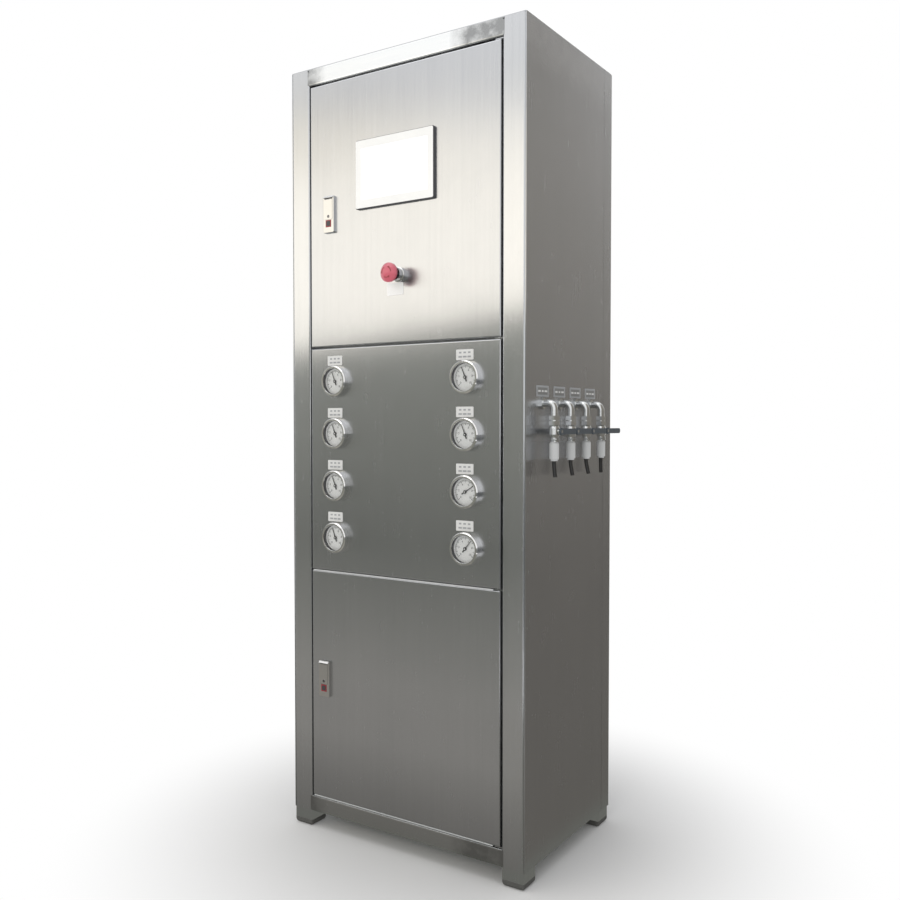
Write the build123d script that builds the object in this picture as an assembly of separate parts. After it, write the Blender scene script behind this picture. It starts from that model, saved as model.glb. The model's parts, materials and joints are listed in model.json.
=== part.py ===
from build123d import *
from math import cos, radians, sin
import os

# A floor-standing laboratory water purifier: a stainless cabinet on a welded tube frame, in millimetres.
# The cabinet is drawn about its own middle: +X is its right side, -Y its front and +Z up from the floor.

# Cabinet and frame
CABINET_WIDTH = 600.0
CABINET_DEPTH = 400.0
CABINET_HEIGHT = 1700.0
SKIN = 1.5
POST = 50.0
RAIL = 36.0
TUBE_WALL = 2.0
TUBE_RADIUS = 4.0
LEG = 36.0
FOOT_HEIGHT = 14.0
FOOT_RADIUS = 8.0
FOOT_PLUG = 20.0
PLUG_CLEARANCE = 0.2
CROSS_RAIL_HEIGHT = 40.0
CROSS_RAIL_DEPTH = 25.0
REAR_STRIP = 40.0
PANEL_SEAM = 0.8
CORNER_REVEAL = 1.2
TRAY_THICK = 2.0
TRAY_LIP = 16.0
TRAY_CLEARANCE = 1.0

# Doors, gauge panel, stops and hinges
PANEL_HEIGHT = 495.0
UPPER_BAY_EXTRA = 65.5
DOOR_GAP = 4.0
DOOR_DEPTH = 18.0
DOOR_SHEET = 1.5
DOOR_RETURN = 26.0
BEND_RADIUS = 2.5
GASKET_THICK = 4.0
GASKET_WIDTH = 10.0
GASKET_INSET = 12.0
STOP_THICK = 2.0
STOP_WIDTH = 30.0
STRIKE_CLEARANCE = 1.5
HINGE_INSET = 8.0
HINGE_DEPTH = 7.5
PIN_RADIUS = 3.0
PIN_LENGTH = 10.0
RUNNING_CLEARANCE = 0.05
BUSH_RADIUS = 5.0
BUSH_LENGTH = 12.0
TAB_THICK = 2.0
TAB_CLEARANCE = 1.0
TAB_MARGIN = 3.0

# Push-button latches
UPPER_LATCH_INSET = 60.5
LOWER_LATCH_INSET = 42.5
LOWER_LATCH_RISE = 15.5
LATCH_WIDTH = 30.0
LATCH_HEIGHT = 80.0
LATCH_PROUD = 6.5
LATCH_CORNER = 3.0
LATCH_EDGE = 1.0
LATCH_BODY_WIDTH = 22.0
LATCH_BODY_HEIGHT = 66.0
CUTOUT_CLEARANCE = 0.5
PADDLE_WIDTH = 22.0
PADDLE_HEIGHT = 46.0
PADDLE_THICK = 6.0
PADDLE_PROUD = 0.5
PADDLE_TOP_MARGIN = 5.0
PADDLE_PIN_RADIUS = 1.5
PADDLE_PIN_REACH = 2.5
SLIDE_CLEARANCE = 0.3
BUTTON_SIDE = 15.0
BUTTON_DROP = 20.0
BUTTON_DEPTH = 8.0
BUTTON_PROUD = 0.5
BUTTON_TRAVEL = 3.0
BOLT_HEIGHT = 18.0
BOLT_THICK = 6.0
BOLT_TIP_GAP = 14.0
BOLT_TAIL = 6.0
BOLT_BACKING = 4.0
BOLT_CHAMFER = 2.0

# Touch screen
SCREEN_X = -10.0
SCREEN_RISE = 73.0
SCREEN_WIDTH = 203.0
SCREEN_HEIGHT = 146.0
SCREEN_PROUD = 7.0
SCREEN_CORNER = 4.0
SCREEN_EDGE = 1.5
SCREEN_BODY_WIDTH = 190.0
SCREEN_BODY_HEIGHT = 136.0
SCREEN_BODY_DEPTH = 38.0
GLASS_WIDTH = 172.0
GLASS_HEIGHT = 108.0
GLASS_THICK = 1.5

# Emergency stop
ESTOP_X = 0.0
ESTOP_DROP = 147.0
ESTOP_HEAD_RADIUS = 20.0
ESTOP_HEAD_FRONT = 48.0
ESTOP_HEAD_BACK = 28.0
ESTOP_RIM_BACK = 34.0
ESTOP_RIM_FRONT = 39.0
ESTOP_HUB_RADIUS = 11.0
ESTOP_FLANGE_RADIUS = 15.5
ESTOP_FLANGE_THICK = 5.0
ESTOP_FLANGE_SLOPE = 1.0
ESTOP_NECK_RADIUS = 13.5
ESTOP_NECK_REACH = 18.0
ESTOP_BARREL_RADIUS = 11.0
ESTOP_BARREL_DEPTH = 30.0
ESTOP_STEM_RADIUS = 6.0
ESTOP_SPIGOT_RADIUS = 4.0
ESTOP_SPIGOT_LENGTH = 10.0
ESTOP_STEM_INSET = 2.0
ESTOP_TRAVEL = 6.0
ESTOP_NUT_FLATS = 28.0
ESTOP_NUT_THICK = 5.0
CONTACT_WIDTH = 30.0
CONTACT_HEIGHT = 46.0
CONTACT_DEPTH = 40.0
CONTACT_WELL_CLEARANCE = 1.0

# Pressure gauges: two columns of four
GAUGE_LEFT_INSET = 76.5
GAUGE_RIGHT_INSET = 82.5
GAUGE_DROP = 75.0
GAUGE_RISE = 76.5
GAUGE_ROWS = 4
POINTER_READINGS = (-22.0, -22.0, -22.0, -22.0, -22.0, -22.0, 58.0, 40.0)
BEZEL_RADIUS = 33.5
BEZEL_PROUD = 14.0
BEZEL_EDGE = 2.0
BEZEL_WINDOW = 28.0
BEZEL_LIP = 1.5
CASE_RADIUS = 30.0
CASE_DEPTH = 30.0
CASE_WALL = 0.5
LENS_THICK = 2.0
DIAL_THICK = 1.0
DIAL_PROUD = 4.0
SEAT_CLEARANCE = 0.1
SPINDLE_RADIUS = 1.2
SPINDLE_REACH = 4.0
POINTER_LIFT = 1.0
POINTER_HUB_RADIUS = 3.5
POINTER_HUB_THICK = 2.2
POINTER_THICK = 0.8
POINTER_LENGTH = 22.0
POINTER_TAIL = 9.0
POINTER_ROOT = 2.6
POINTER_TIP = 0.9
GAUGE_HEX_FLATS = 17.0
GAUGE_HEX_LENGTH = 8.0
GAUGE_STUB_RADIUS = 6.5
GAUGE_STUB_LENGTH = 12.0

# Sample outlets on the right side
OUTLET_COUNT = 4
OUTLET_FROM_FRONT = 66.0
OUTLET_FROM_BACK = 113.5
OUTLET_DROP = 127.0
OUTLET_REACH = 28.0
OUTLET_PIPE_RADIUS = 7.5
OUTLET_BORE_RADIUS = 5.0
OUTLET_BEND = 13.0
OUTLET_HEX_FLATS = 21.0
OUTLET_FLANGE_THICK = 6.0
OUTLET_THREAD = 20.0
LOCKNUT_FLATS = 24.0
LOCKNUT_THICK = 6.0
UNION_DROP = 25.0
UNION_HEX = 8.5
UNION_NECK = 2.0
UNION_NECK_RADIUS = 8.5
VALVE_RADIUS = 11.0
VALVE_WAIST_RADIUS = 8.5
VALVE_HALF = 12.0
VALVE_THREAD = 8.0
VALVE_BOSS_RADIUS = 5.5
VALVE_BOSS_REACH = 13.5
SPINDLE_PIN_RADIUS = 3.0
LEVER_HUB_RADIUS = 7.0
LEVER_THICK = 4.0
LEVER_WIDTH = 11.0
LEVER_SPACING = 3.0
LEVER_GAP = 0.3
CONNECTOR_RADIUS = 9.5
CONNECTOR_LENGTH = 35.0
CONNECTOR_NECK = 4.0
CONNECTOR_NECK_RADIUS = 7.0
CONNECTOR_EDGE = 1.0
COLLET_RADIUS = 7.0
COLLET_LENGTH = 3.0
TUBE_STUB_RADIUS = 4.0
TUBE_STUB_INSERT = 18.0
TUBE_STUB_FREE = 32.0
TUBE_STUB_STRAIGHT = 8.0
TUBE_STUB_BEND = 30.0
TUBE_STUB_LEANS = (6.0, 11.0, 14.0, 2.0)

# Rear panel: air slots, cable gland, feed inlet and drain
SLOT_COUNT = 10
SLOT_LENGTH = 160.0
SLOT_HEIGHT = 6.0
SLOT_PITCH = 16.0
SLOT_DROP = 120.0
SLOT_COLUMNS = (-120.0, 120.0)
GLAND_SIDE_MARGIN = 118.5
GLAND_Z = 150.0
GLAND_FLATS = 24.0
GLAND_HEX_THICK = 6.0
GLAND_DOME_RADIUS = 10.0
GLAND_DOME_LENGTH = 14.0
GLAND_BORE_RADIUS = 5.0
GLAND_CHAMFER = 2.5
INLET_X = -110.0
FITTING_Z = 150.0
FITTING_FLATS = 30.0
FITTING_HEX_THICK = 6.0
FITTING_STUB_RADIUS = 10.0
FITTING_STUB_LENGTH = 18.0
FITTING_BORE_RADIUS = 7.0
FITTING_INSET = 16.0

# Electrical gear on its plate in the upper compartment
PLATE_THICK = 2.0
PLATE_SIDE_MARGIN = 18.5
PLATE_END_MARGIN = 22.0
DIN_DROPS = (111.0, 269.0)
DIN_SIDE_MARGIN = 14.0
DIN_HEIGHT = 35.0
DIN_CROWN = 25.0
DIN_DEPTH = 7.5
DIN_FOLD = 1.5
DUCT_DROPS = (22.0, 200.0, 338.0)
DUCT_SIDE_MARGIN = 6.0
DUCT_HEIGHT = 30.0
DUCT_DEPTH = 50.0
DUCT_LID = 4.0
DUCT_LID_OVERLAP = 1.5
MODULE_NOSE_SHARE = 0.55
MODULE_STEP = 14.0
MODULE_GAP = 6.0
# The width, height and depth of each module, from left to right on each rail
MODULE_ROWS = (
    ((62.0, 125.0, 78.0), (130.0, 96.0, 72.0), (72.0, 96.0, 72.0)),
    ((54.0, 85.0, 70.0), (45.0, 82.0, 78.0), (45.0, 82.0, 78.0), (80.0, 76.0, 66.0), (110.0, 56.0, 46.0)),
)

# Water train
DIVIDER_THICK = 2.0
FILTER_SHELF_DROP = 22.0
FILTER_SHELF_OVERHANG = 25.0
FILTER_SHELF_THICK = 3.0
FILTER_XS = (-132.0, -20.0, 92.0)
FILTER_FROM_FRONT = 105.0
FILTER_HEAD_RADIUS = 46.0
FILTER_HEAD_HEIGHT = 60.0
FILTER_PORT_RADIUS = 16.0
FILTER_PORT_REACH = 52.0
BOWL_RADIUS = 42.0
BOWL_FOOT_RADIUS = 36.0
BOWL_HEIGHT = 250.0
BOWL_COLLAR_RADIUS = 46.0
BOWL_COLLAR_HEIGHT = 22.0
BOWL_ROUND = 16.0
STRUT_RISE = 65.0
STRUT_DROP = 132.0
STRUT_HEIGHT = 40.0
STRUT_DEPTH = 20.0
STRUT_SIDE_MARGIN = 8.5
VESSEL_XS = (-180.0, -64.0)
VESSEL_RADIUS = 50.5
VESSEL_LOW = 480.0
VESSEL_HEAD_ROOM = 62.0
CAP_HEIGHT = 30.0
CAP_LIP = 5.0
POLISHER_XS = (46.0, 150.0)
POLISHER_RADIUS = 45.0
POLISHER_CLEARANCE = 84.0
POLISHER_HEAD_ROOM = 66.0
CLAMP_THICK = 3.0
CLAMP_HEIGHT = 25.0
CLAMP_FOOT = 24.0
CLAMP_STANDOFF = 8.0
PUMP_SIDE_MARGIN = 138.5
PUMP_BASE_WIDTH = 150.0
PUMP_BASE_DEPTH = 130.0
PUMP_BASE_THICK = 12.0
PUMP_VOLUTE_RADIUS = 62.0
PUMP_VOLUTE_HEIGHT = 70.0
PUMP_PORT_RADIUS = 16.0
PUMP_PORT_REACH = 72.0
PUMP_STACK_RADIUS = 48.0
PUMP_STACK_HEIGHT = 150.0
PUMP_LANTERN_RADIUS = 60.0
PUMP_LANTERN_HEIGHT = 45.0
MOTOR_RADIUS = 60.0
MOTOR_HEIGHT = 150.0
MOTOR_FIN_COUNT = 20
MOTOR_FIN_HEIGHT = 5.0
MOTOR_FIN_THICK = 3.0
FAN_COVER_RADIUS = 66.0
FAN_COVER_HEIGHT = 40.0
FAN_COVER_ROUND = 10.0
PIPE_RADIUS = 9.0
PIPE_BEND = 18.0
PIPE_RISE = 34.0
PIPE_SIDE_MARGIN = 32.5
PIPE_RETURN_MARGIN = 16.5
BRINE_PORT_OFFSET = 28.0
MANIFOLD_SIDE = 20.0

# Faces of the cabinet that the pieces are set against
LEFT = -CABINET_WIDTH / 2
RIGHT = CABINET_WIDTH / 2
FRONT = -CABINET_DEPTH / 2
BACK = CABINET_DEPTH / 2
FRAME_X = RIGHT - SKIN
FRAME_BACK = BACK - SKIN
FRAME_TOP = CABINET_HEIGHT - SKIN
OPENING_X = FRAME_X - POST
OPENING_LOW = LEG + RAIL
OPENING_HIGH = FRAME_TOP - RAIL
LOWER_BAY = (OPENING_HIGH - OPENING_LOW - PANEL_HEIGHT - UPPER_BAY_EXTRA) / 2
SPLIT_LOW = OPENING_LOW + LOWER_BAY
SPLIT_HIGH = SPLIT_LOW + PANEL_HEIGHT
UPPER_MIDDLE = (SPLIT_HIGH + OPENING_HIGH) / 2
POST_REAR = FRAME_BACK - POST
POST_FRONT = FRONT + POST
STOP_FRONT = FRONT + DOOR_DEPTH + GASKET_THICK
STOP_BACK = STOP_FRONT + STOP_THICK
DOOR_X = OPENING_X - DOOR_GAP
UPPER_DOOR_SPAN = (SPLIT_HIGH + DOOR_GAP / 2, OPENING_HIGH - DOOR_GAP)
PANEL_SPAN = (SPLIT_LOW + DOOR_GAP / 2, SPLIT_HIGH - DOOR_GAP / 2)
LOWER_DOOR_SPAN = (OPENING_LOW + DOOR_GAP, SPLIT_LOW - DOOR_GAP / 2)
HINGE_X = DOOR_X - HINGE_INSET
HINGE_Y = FRONT + HINGE_DEPTH
TRAY_TOP = OPENING_LOW + TRAY_THICK
DIVIDER_Z = SPLIT_HIGH + CROSS_RAIL_HEIGHT / 2
UPPER_LATCH_X = -OPENING_X + UPPER_LATCH_INSET
UPPER_LATCH_Z = UPPER_MIDDLE
LOWER_LATCH_X = -OPENING_X + LOWER_LATCH_INSET
LOWER_LATCH_Z = OPENING_LOW + LOWER_BAY / 2 + LOWER_LATCH_RISE
SCREEN_Z = UPPER_MIDDLE + SCREEN_RISE
ESTOP_Z = UPPER_MIDDLE - ESTOP_DROP
GAUGE_COLUMNS = (-OPENING_X + GAUGE_LEFT_INSET, OPENING_X - GAUGE_RIGHT_INSET)
GAUGE_TOP_Z = SPLIT_HIGH - GAUGE_DROP
GAUGE_PITCH = (PANEL_HEIGHT - GAUGE_DROP - GAUGE_RISE) / (GAUGE_ROWS - 1)
BOLT_FRONT = STOP_FRONT + SLIDE_CLEARANCE
BOLT_TIP_X = -OPENING_X + BOLT_TIP_GAP
LATCH_BODY_BACK = BOLT_FRONT + BOLT_THICK + BOLT_BACKING
PADDLE_PIVOT_Y = FRONT - LATCH_PROUD - PADDLE_PROUD + PADDLE_THICK / 2
PADDLE_PIVOT_RISE = LATCH_HEIGHT / 2 - PADDLE_TOP_MARGIN - PADDLE_THICK / 2
OUTLET_X = RIGHT + OUTLET_REACH
OUTLET_Z = SPLIT_HIGH - OUTLET_DROP
OUTLET_PITCH = (CABINET_DEPTH - OUTLET_FROM_FRONT - OUTLET_FROM_BACK) / (OUTLET_COUNT - 1)
LEVER_REACH = OUTLET_PITCH - LEVER_HUB_RADIUS - LEVER_SPACING
UNION_Z = OUTLET_Z - UNION_DROP
VALVE_TOP = UNION_Z - 2 * UNION_HEX - UNION_NECK
VALVE_Z = VALVE_TOP - VALVE_HALF
VALVE_LOW = VALVE_Z - VALVE_HALF
CONNECTOR_TOP = VALVE_LOW - VALVE_THREAD
CONNECTOR_LOW = CONNECTOR_TOP - CONNECTOR_LENGTH
COLLET_LOW = CONNECTOR_LOW - COLLET_LENGTH
LEVER_INNER_X = OUTLET_X + VALVE_BOSS_REACH + LEVER_GAP
LEVER_OUTER_X = LEVER_INNER_X + LEVER_THICK
STRUT_FRONT = POST_REAR - STRUT_DEPTH
GLAND_X = FRAME_X - GLAND_SIDE_MARGIN
FITTING_XS = (INLET_X, VESSEL_XS[0])
VESSEL_Y = STRUT_FRONT - CLAMP_STANDOFF - CLAMP_THICK - VESSEL_RADIUS
PLATE_FRONT = POST_REAR - PLATE_THICK
PLATE_X = FRAME_X - PLATE_SIDE_MARGIN
PLATE_LOW = DIVIDER_Z + PLATE_END_MARGIN
PLATE_HIGH = OPENING_HIGH - PLATE_END_MARGIN
DIN_FRONT = PLATE_FRONT - DIN_DEPTH
DIN_ROWS = tuple(PLATE_HIGH - drop for drop in DIN_DROPS)
DUCT_ROWS = tuple(PLATE_HIGH - drop for drop in DUCT_DROPS)
FILTER_Y = FRONT + FILTER_FROM_FRONT
FILTER_SHELF_Z = SPLIT_LOW - FILTER_SHELF_DROP
PUMP_X = FRAME_X - PUMP_SIDE_MARGIN
PUMP_STAGES = (PUMP_BASE_THICK, PUMP_VOLUTE_HEIGHT, PUMP_STACK_HEIGHT, PUMP_LANTERN_HEIGHT, MOTOR_HEIGHT)
VESSEL_HIGH = DIVIDER_Z - VESSEL_HEAD_ROOM
POLISHER_LOW = TRAY_TOP + sum(PUMP_STAGES) + FAN_COVER_HEIGHT + POLISHER_CLEARANCE
STRUT_ROWS = (POLISHER_LOW + STRUT_RISE, DIVIDER_Z - STRUT_DROP)
POLISHER_HIGH = DIVIDER_Z - POLISHER_HEAD_ROOM
PIPE_SIDE_X = -FRAME_X + PIPE_SIDE_MARGIN
PIPE_RETURN_X = OPENING_X - PIPE_RETURN_MARGIN
PIPE_TOP_Z = VESSEL_HIGH + PIPE_RISE
MANIFOLD_X = FRAME_X - OUTLET_THREAD

# The origin lies on the floor, under the middle of the whole object with its outlets and rear fittings.
REACH_RIGHT = LEVER_OUTER_X
REACH_FRONT = FRONT - ESTOP_HEAD_FRONT
REACH_BACK = BACK + FITTING_HEX_THICK + FITTING_STUB_LENGTH
ORIGIN_X = (LEFT + REACH_RIGHT) / 2
ORIGIN_Y = (REACH_FRONT + REACH_BACK) / 2


def block(x0, x1, y0, y1, z0, z1):
    """A box between two corners."""
    middle = Pos((x0 + x1) / 2, (y0 + y1) / 2, (z0 + z1) / 2)
    return middle * Box(x1 - x0, y1 - y0, z1 - z0)


def rod_x(y, z, x0, x1, radius):
    """A round bar along X."""
    return Pos((x0 + x1) / 2, y, z) * Rot(0, 90, 0) * Cylinder(radius, x1 - x0)


def rod_y(x, z, y0, y1, radius):
    """A round bar along Y."""
    return Pos(x, (y0 + y1) / 2, z) * Rot(90, 0, 0) * Cylinder(radius, y1 - y0)


def rod_z(x, y, z0, z1, radius):
    """A round bar along Z."""
    return Pos(x, y, (z0 + z1) / 2) * Cylinder(radius, z1 - z0)


def hexagon(flats):
    """A hexagon of a given width across its flats."""
    return RegularPolygon(flats / 2, 6, major_radius=False)


def hex_x(y, z, x0, x1, flats):
    """A hexagonal bar along X."""
    return Pos(x0, y, z) * Rot(0, 90, 0) * extrude(hexagon(flats), x1 - x0)


def hex_y(x, z, y0, y1, flats):
    """A hexagonal bar along Y."""
    return Pos(x, y0, z) * Rot(-90, 0, 0) * extrude(hexagon(flats), y1 - y0)


def hex_z(x, y, z0, z1, flats):
    """A hexagonal bar along Z."""
    return Pos(x, y, z0) * extrude(hexagon(flats), z1 - z0)


def square_tube(width, height, length):
    """A rectangular tube along Z with rounded corners, centred on its section."""
    inner_radius = TUBE_RADIUS - TUBE_WALL / 2
    bore = RectangleRounded(width - 2 * TUBE_WALL, height - 2 * TUBE_WALL, inner_radius)
    return extrude(RectangleRounded(width, height, TUBE_RADIUS) - bore, length)


def tube_along_x(x0, x1, y0, y1, z0, z1):
    """A rectangular tube along X that fills a box."""
    tube = square_tube(z1 - z0, y1 - y0, x1 - x0)
    return Pos(x0, (y0 + y1) / 2, (z0 + z1) / 2) * Rot(0, 90, 0) * tube


def tube_along_y(x0, x1, y0, y1, z0, z1):
    """A rectangular tube along Y that fills a box."""
    tube = square_tube(x1 - x0, z1 - z0, y1 - y0)
    return Pos((x0 + x1) / 2, y0, (z0 + z1) / 2) * Rot(-90, 0, 0) * tube


def turned(points):
    """A solid turned about Z from an outline of radius and height pairs."""
    return revolve(Plane.XZ * make_face(Polyline(*points, close=True)), Axis.Z)


def front_turned(x, z, points):
    """A solid turned about an axis square to the front, from radius and distance-out pairs."""
    return Pos(x, FRONT, z) * Rot(90, 0, 0) * turned(points)


def bent_pipe(points, radius, bend):
    """A round pipe along straight runs with equal bends."""
    path = FilletPolyline(*points, radius=bend)
    return sweep(Plane(path @ 0, z_dir=path % 0) * Circle(radius), path=path)


def corner_places():
    """The middles of the four posts."""
    post_x = FRAME_X - POST / 2
    for y in (FRONT + POST / 2, FRAME_BACK - POST / 2):
        for x in (-post_x, post_x):
            yield x, y


def frame_posts():
    post = square_tube(POST, POST, FRAME_TOP - FOOT_HEIGHT)
    return [Pos(x, y, FOOT_HEIGHT) * post for x, y in corner_places()]


def foot_caps():
    """Rounded caps on the post ends, each with a plug inside the tube."""
    pad = extrude(RectangleRounded(POST, POST, TUBE_RADIUS), FOOT_HEIGHT)
    pad = fillet(pad.faces().sort_by(Axis.Z)[0].edges(), FOOT_RADIUS)
    plug_side = POST - 2 * TUBE_WALL - 2 * PLUG_CLEARANCE
    plug = extrude(RectangleRounded(plug_side, plug_side, TUBE_RADIUS), FOOT_PLUG)
    cap = pad + Pos(0, 0, FOOT_HEIGHT) * plug
    return [Pos(x, y, 0) * cap for x, y in corner_places()]


def frame_rails():
    """Rails between the posts at the top and bottom, and cross rails behind the two splits of the front."""
    rails = []
    for low in (LEG, OPENING_HIGH):
        high = low + RAIL
        rails.append(tube_along_x(-OPENING_X, OPENING_X, FRONT, FRONT + RAIL, low, high))
        rails.append(tube_along_x(-OPENING_X, OPENING_X, FRAME_BACK - RAIL, FRAME_BACK, low, high))
        rails.append(tube_along_y(-FRAME_X, RAIL - FRAME_X, POST_FRONT, POST_REAR, low, high))
        rails.append(tube_along_y(FRAME_X - RAIL, FRAME_X, POST_FRONT, POST_REAR, low, high))
    half = CROSS_RAIL_HEIGHT / 2
    for split in (SPLIT_LOW, SPLIT_HIGH):
        back = STOP_BACK + CROSS_RAIL_DEPTH
        rails.append(tube_along_x(-OPENING_X, OPENING_X, STOP_BACK, back, split - half, split + half))
    return rails


def door_stops():
    """Flat strips that the gaskets close on. The left strip is open where the latch bolts pass."""
    strips = []
    inner = OPENING_X - STOP_WIDTH
    strips.append(block(inner, OPENING_X, STOP_FRONT, STOP_BACK, OPENING_LOW, OPENING_HIGH))
    strike = BOLT_HEIGHT / 2 + STRIKE_CLEARANCE
    edges = [OPENING_LOW]
    for z in (LOWER_LATCH_Z, UPPER_LATCH_Z):
        edges += [z - strike, z + strike]
    edges.append(OPENING_HIGH)
    for low, high in zip(edges[0::2], edges[1::2]):
        strips.append(block(-OPENING_X, -inner, STOP_FRONT, STOP_BACK, low, high))
    spans = [(OPENING_LOW, OPENING_LOW + STOP_WIDTH), (OPENING_HIGH - STOP_WIDTH, OPENING_HIGH)]
    spans += [(split - STOP_WIDTH, split + STOP_WIDTH) for split in (SPLIT_LOW, SPLIT_HIGH)]
    for low, high in spans:
        strips.append(block(-inner, inner, STOP_FRONT, STOP_BACK, low, high))
    return strips


def side_panel(side):
    """One side's sheet and the cover strip at its rear corner. Side is -1 for left and 1 for right."""
    x0, x1 = sorted((side * FRAME_X, side * RIGHT))
    seam = BACK - REAR_STRIP
    sheet = block(x0, x1, FRONT + CORNER_REVEAL, seam - PANEL_SEAM, LEG, FRAME_TOP)
    strip = block(x0, x1, seam, FRAME_BACK, LEG, FRAME_TOP)
    return [sheet, strip]


def outlet_ys():
    """The outlets' places from front to back."""
    return [FRONT + OUTLET_FROM_FRONT + i * OUTLET_PITCH for i in range(OUTLET_COUNT)]


def right_side_panel():
    sheet, strip = side_panel(1)
    for y in outlet_ys():
        sheet -= rod_x(y, OUTLET_Z, FRAME_X - SKIN, RIGHT + SKIN, OUTLET_PIPE_RADIUS)
    return [sheet, strip]


def rear_panel():
    """The back sheet with its air slots and the holes for the gland and the water fittings."""
    sheet = block(LEFT, RIGHT, FRAME_BACK, BACK, LEG, FRAME_TOP)
    slot = extrude(SlotOverall(SLOT_LENGTH, SLOT_HEIGHT), 2 * SKIN, both=True)
    for x in SLOT_COLUMNS:
        for i in range(SLOT_COUNT):
            sheet -= Pos(x, BACK, CABINET_HEIGHT - SLOT_DROP - i * SLOT_PITCH) * Rot(90, 0, 0) * slot
    sheet -= rod_y(GLAND_X, GLAND_Z, FRAME_BACK - SKIN, BACK + SKIN, GLAND_DOME_RADIUS)
    for x in FITTING_XS:
        sheet -= rod_y(x, FITTING_Z, FRAME_BACK - SKIN, BACK + SKIN, FITTING_STUB_RADIUS)
    return [sheet]


def rear_fittings():
    """The cable gland, the feed inlet and the drain, each with a bore."""
    gland = hex_y(GLAND_X, GLAND_Z, BACK, BACK + GLAND_HEX_THICK, GLAND_FLATS)
    tip = BACK + GLAND_HEX_THICK + GLAND_DOME_LENGTH
    dome = rod_y(GLAND_X, GLAND_Z, BACK - FITTING_INSET, tip, GLAND_DOME_RADIUS)
    gland += chamfer(dome.faces().sort_by(Axis.Y)[-1].edges(), GLAND_CHAMFER)
    gland -= rod_y(GLAND_X, GLAND_Z, BACK - FITTING_INSET, tip, GLAND_BORE_RADIUS)
    pieces = [gland]
    for x in FITTING_XS:
        fitting = hex_y(x, FITTING_Z, BACK, BACK + FITTING_HEX_THICK, FITTING_FLATS)
        fitting += rod_y(x, FITTING_Z, BACK - FITTING_INSET, REACH_BACK, FITTING_STUB_RADIUS)
        pieces.append(fitting - rod_y(x, FITTING_Z, BACK - FITTING_INSET, REACH_BACK, FITTING_BORE_RADIUS))
    return pieces


def top_panel():
    sheet = Pos(0, 0, FRAME_TOP) * extrude(RectangleRounded(CABINET_WIDTH, CABINET_DEPTH, TUBE_RADIUS), SKIN)
    return [sheet]


def base_tray():
    """A drip tray on the side rails, with a raised lip all round."""
    x = FRAME_X - TRAY_CLEARANCE
    y0 = POST_FRONT + TRAY_CLEARANCE
    y1 = POST_REAR - TRAY_CLEARANCE
    tray = block(-x, x, y0, y1, OPENING_LOW, TRAY_TOP + TRAY_LIP)
    well = (TRAY_THICK - x, x - TRAY_THICK, y0 + TRAY_THICK, y1 - TRAY_THICK)
    return [tray - block(*well, TRAY_TOP, TRAY_TOP + 2 * TRAY_LIP)]


def sheet_pan(span, depth):
    """A folded sheet that fills the front opening between two heights, with returns round its back."""
    low, high = span
    pan = block(-DOOR_X, DOOR_X, FRONT, FRONT + depth, low, high)
    front_face = pan.faces().sort_by(Axis.Y)[0]
    pan = fillet(front_face.edges(), BEND_RADIUS)
    inner = (DOOR_SHEET - DOOR_X, DOOR_X - DOOR_SHEET, FRONT + DOOR_SHEET, FRONT + depth - DOOR_SHEET)
    pan -= block(*inner, low + DOOR_SHEET, high - DOOR_SHEET)
    window_x = DOOR_X - DOOR_RETURN
    window = (-window_x, window_x, FRONT + depth / 2, FRONT + 2 * depth)
    return pan - block(*window, low + DOOR_RETURN, high - DOOR_RETURN)


def hinge_places(span):
    """For a door's two hinges: the height of the door's edge there, and which way is out of the door."""
    return ((span[0], -1), (span[1], 1))


def hinged_door(span, cuts):
    """A door pan with its cut-outs, and a bush in each hinge corner."""
    pan = sheet_pan(span, DOOR_DEPTH)
    for cut in cuts:
        pan -= cut
    bushes = []
    for edge, out in hinge_places(span):
        low, high = sorted((edge, edge - out * BUSH_LENGTH))
        sleeve = rod_z(HINGE_X, HINGE_Y, low, high, BUSH_RADIUS)
        pan -= sleeve
        bushes.append(sleeve - rod_z(HINGE_X, HINGE_Y, low, high, PIN_RADIUS + RUNNING_CLEARANCE))
    return [pan, *bushes]


def hinge_pintles():
    """Tabs on the right post that carry the doors' hinge pins."""
    pintles = []
    for span in (UPPER_DOOR_SPAN, LOWER_DOOR_SPAN):
        for edge, out in hinge_places(span):
            near = edge + out * TAB_CLEARANCE
            far = near + out * TAB_THICK
            tip = edge - out * PIN_LENGTH
            x0 = HINGE_X - PIN_RADIUS - TAB_MARGIN
            y0 = HINGE_Y - PIN_RADIUS - TAB_MARGIN / 2
            y1 = HINGE_Y + PIN_RADIUS + TAB_MARGIN
            tab = block(x0, OPENING_X, y0, y1, min(near, far), max(near, far))
            pintles.append(tab + rod_z(HINGE_X, HINGE_Y, min(tip, near), max(tip, near), PIN_RADIUS))
    return pintles


def door_gasket(span):
    """Four strips on the back of a door, clear of its hinge axis."""
    x1 = DOOR_X - GASKET_INSET
    low = span[0] + GASKET_INSET
    high = span[1] - GASKET_INSET
    y0 = FRONT + DOOR_DEPTH
    strips = [
        block(-x1, x1, y0, STOP_FRONT, low, low + GASKET_WIDTH),
        block(-x1, x1, y0, STOP_FRONT, high - GASKET_WIDTH, high),
    ]
    for a, b in ((-x1, GASKET_WIDTH - x1), (x1 - GASKET_WIDTH, x1)):
        strips.append(block(a, b, y0, STOP_FRONT, low + GASKET_WIDTH, high - GASKET_WIDTH))
    return strips


def latch_cutout(x, z):
    half_width = LATCH_BODY_WIDTH / 2 + CUTOUT_CLEARANCE
    half_height = LATCH_BODY_HEIGHT / 2 + CUTOUT_CLEARANCE
    sides = (x - half_width, x + half_width, FRONT - DOOR_SHEET, STOP_FRONT)
    return block(*sides, z - half_height, z + half_height)


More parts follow.
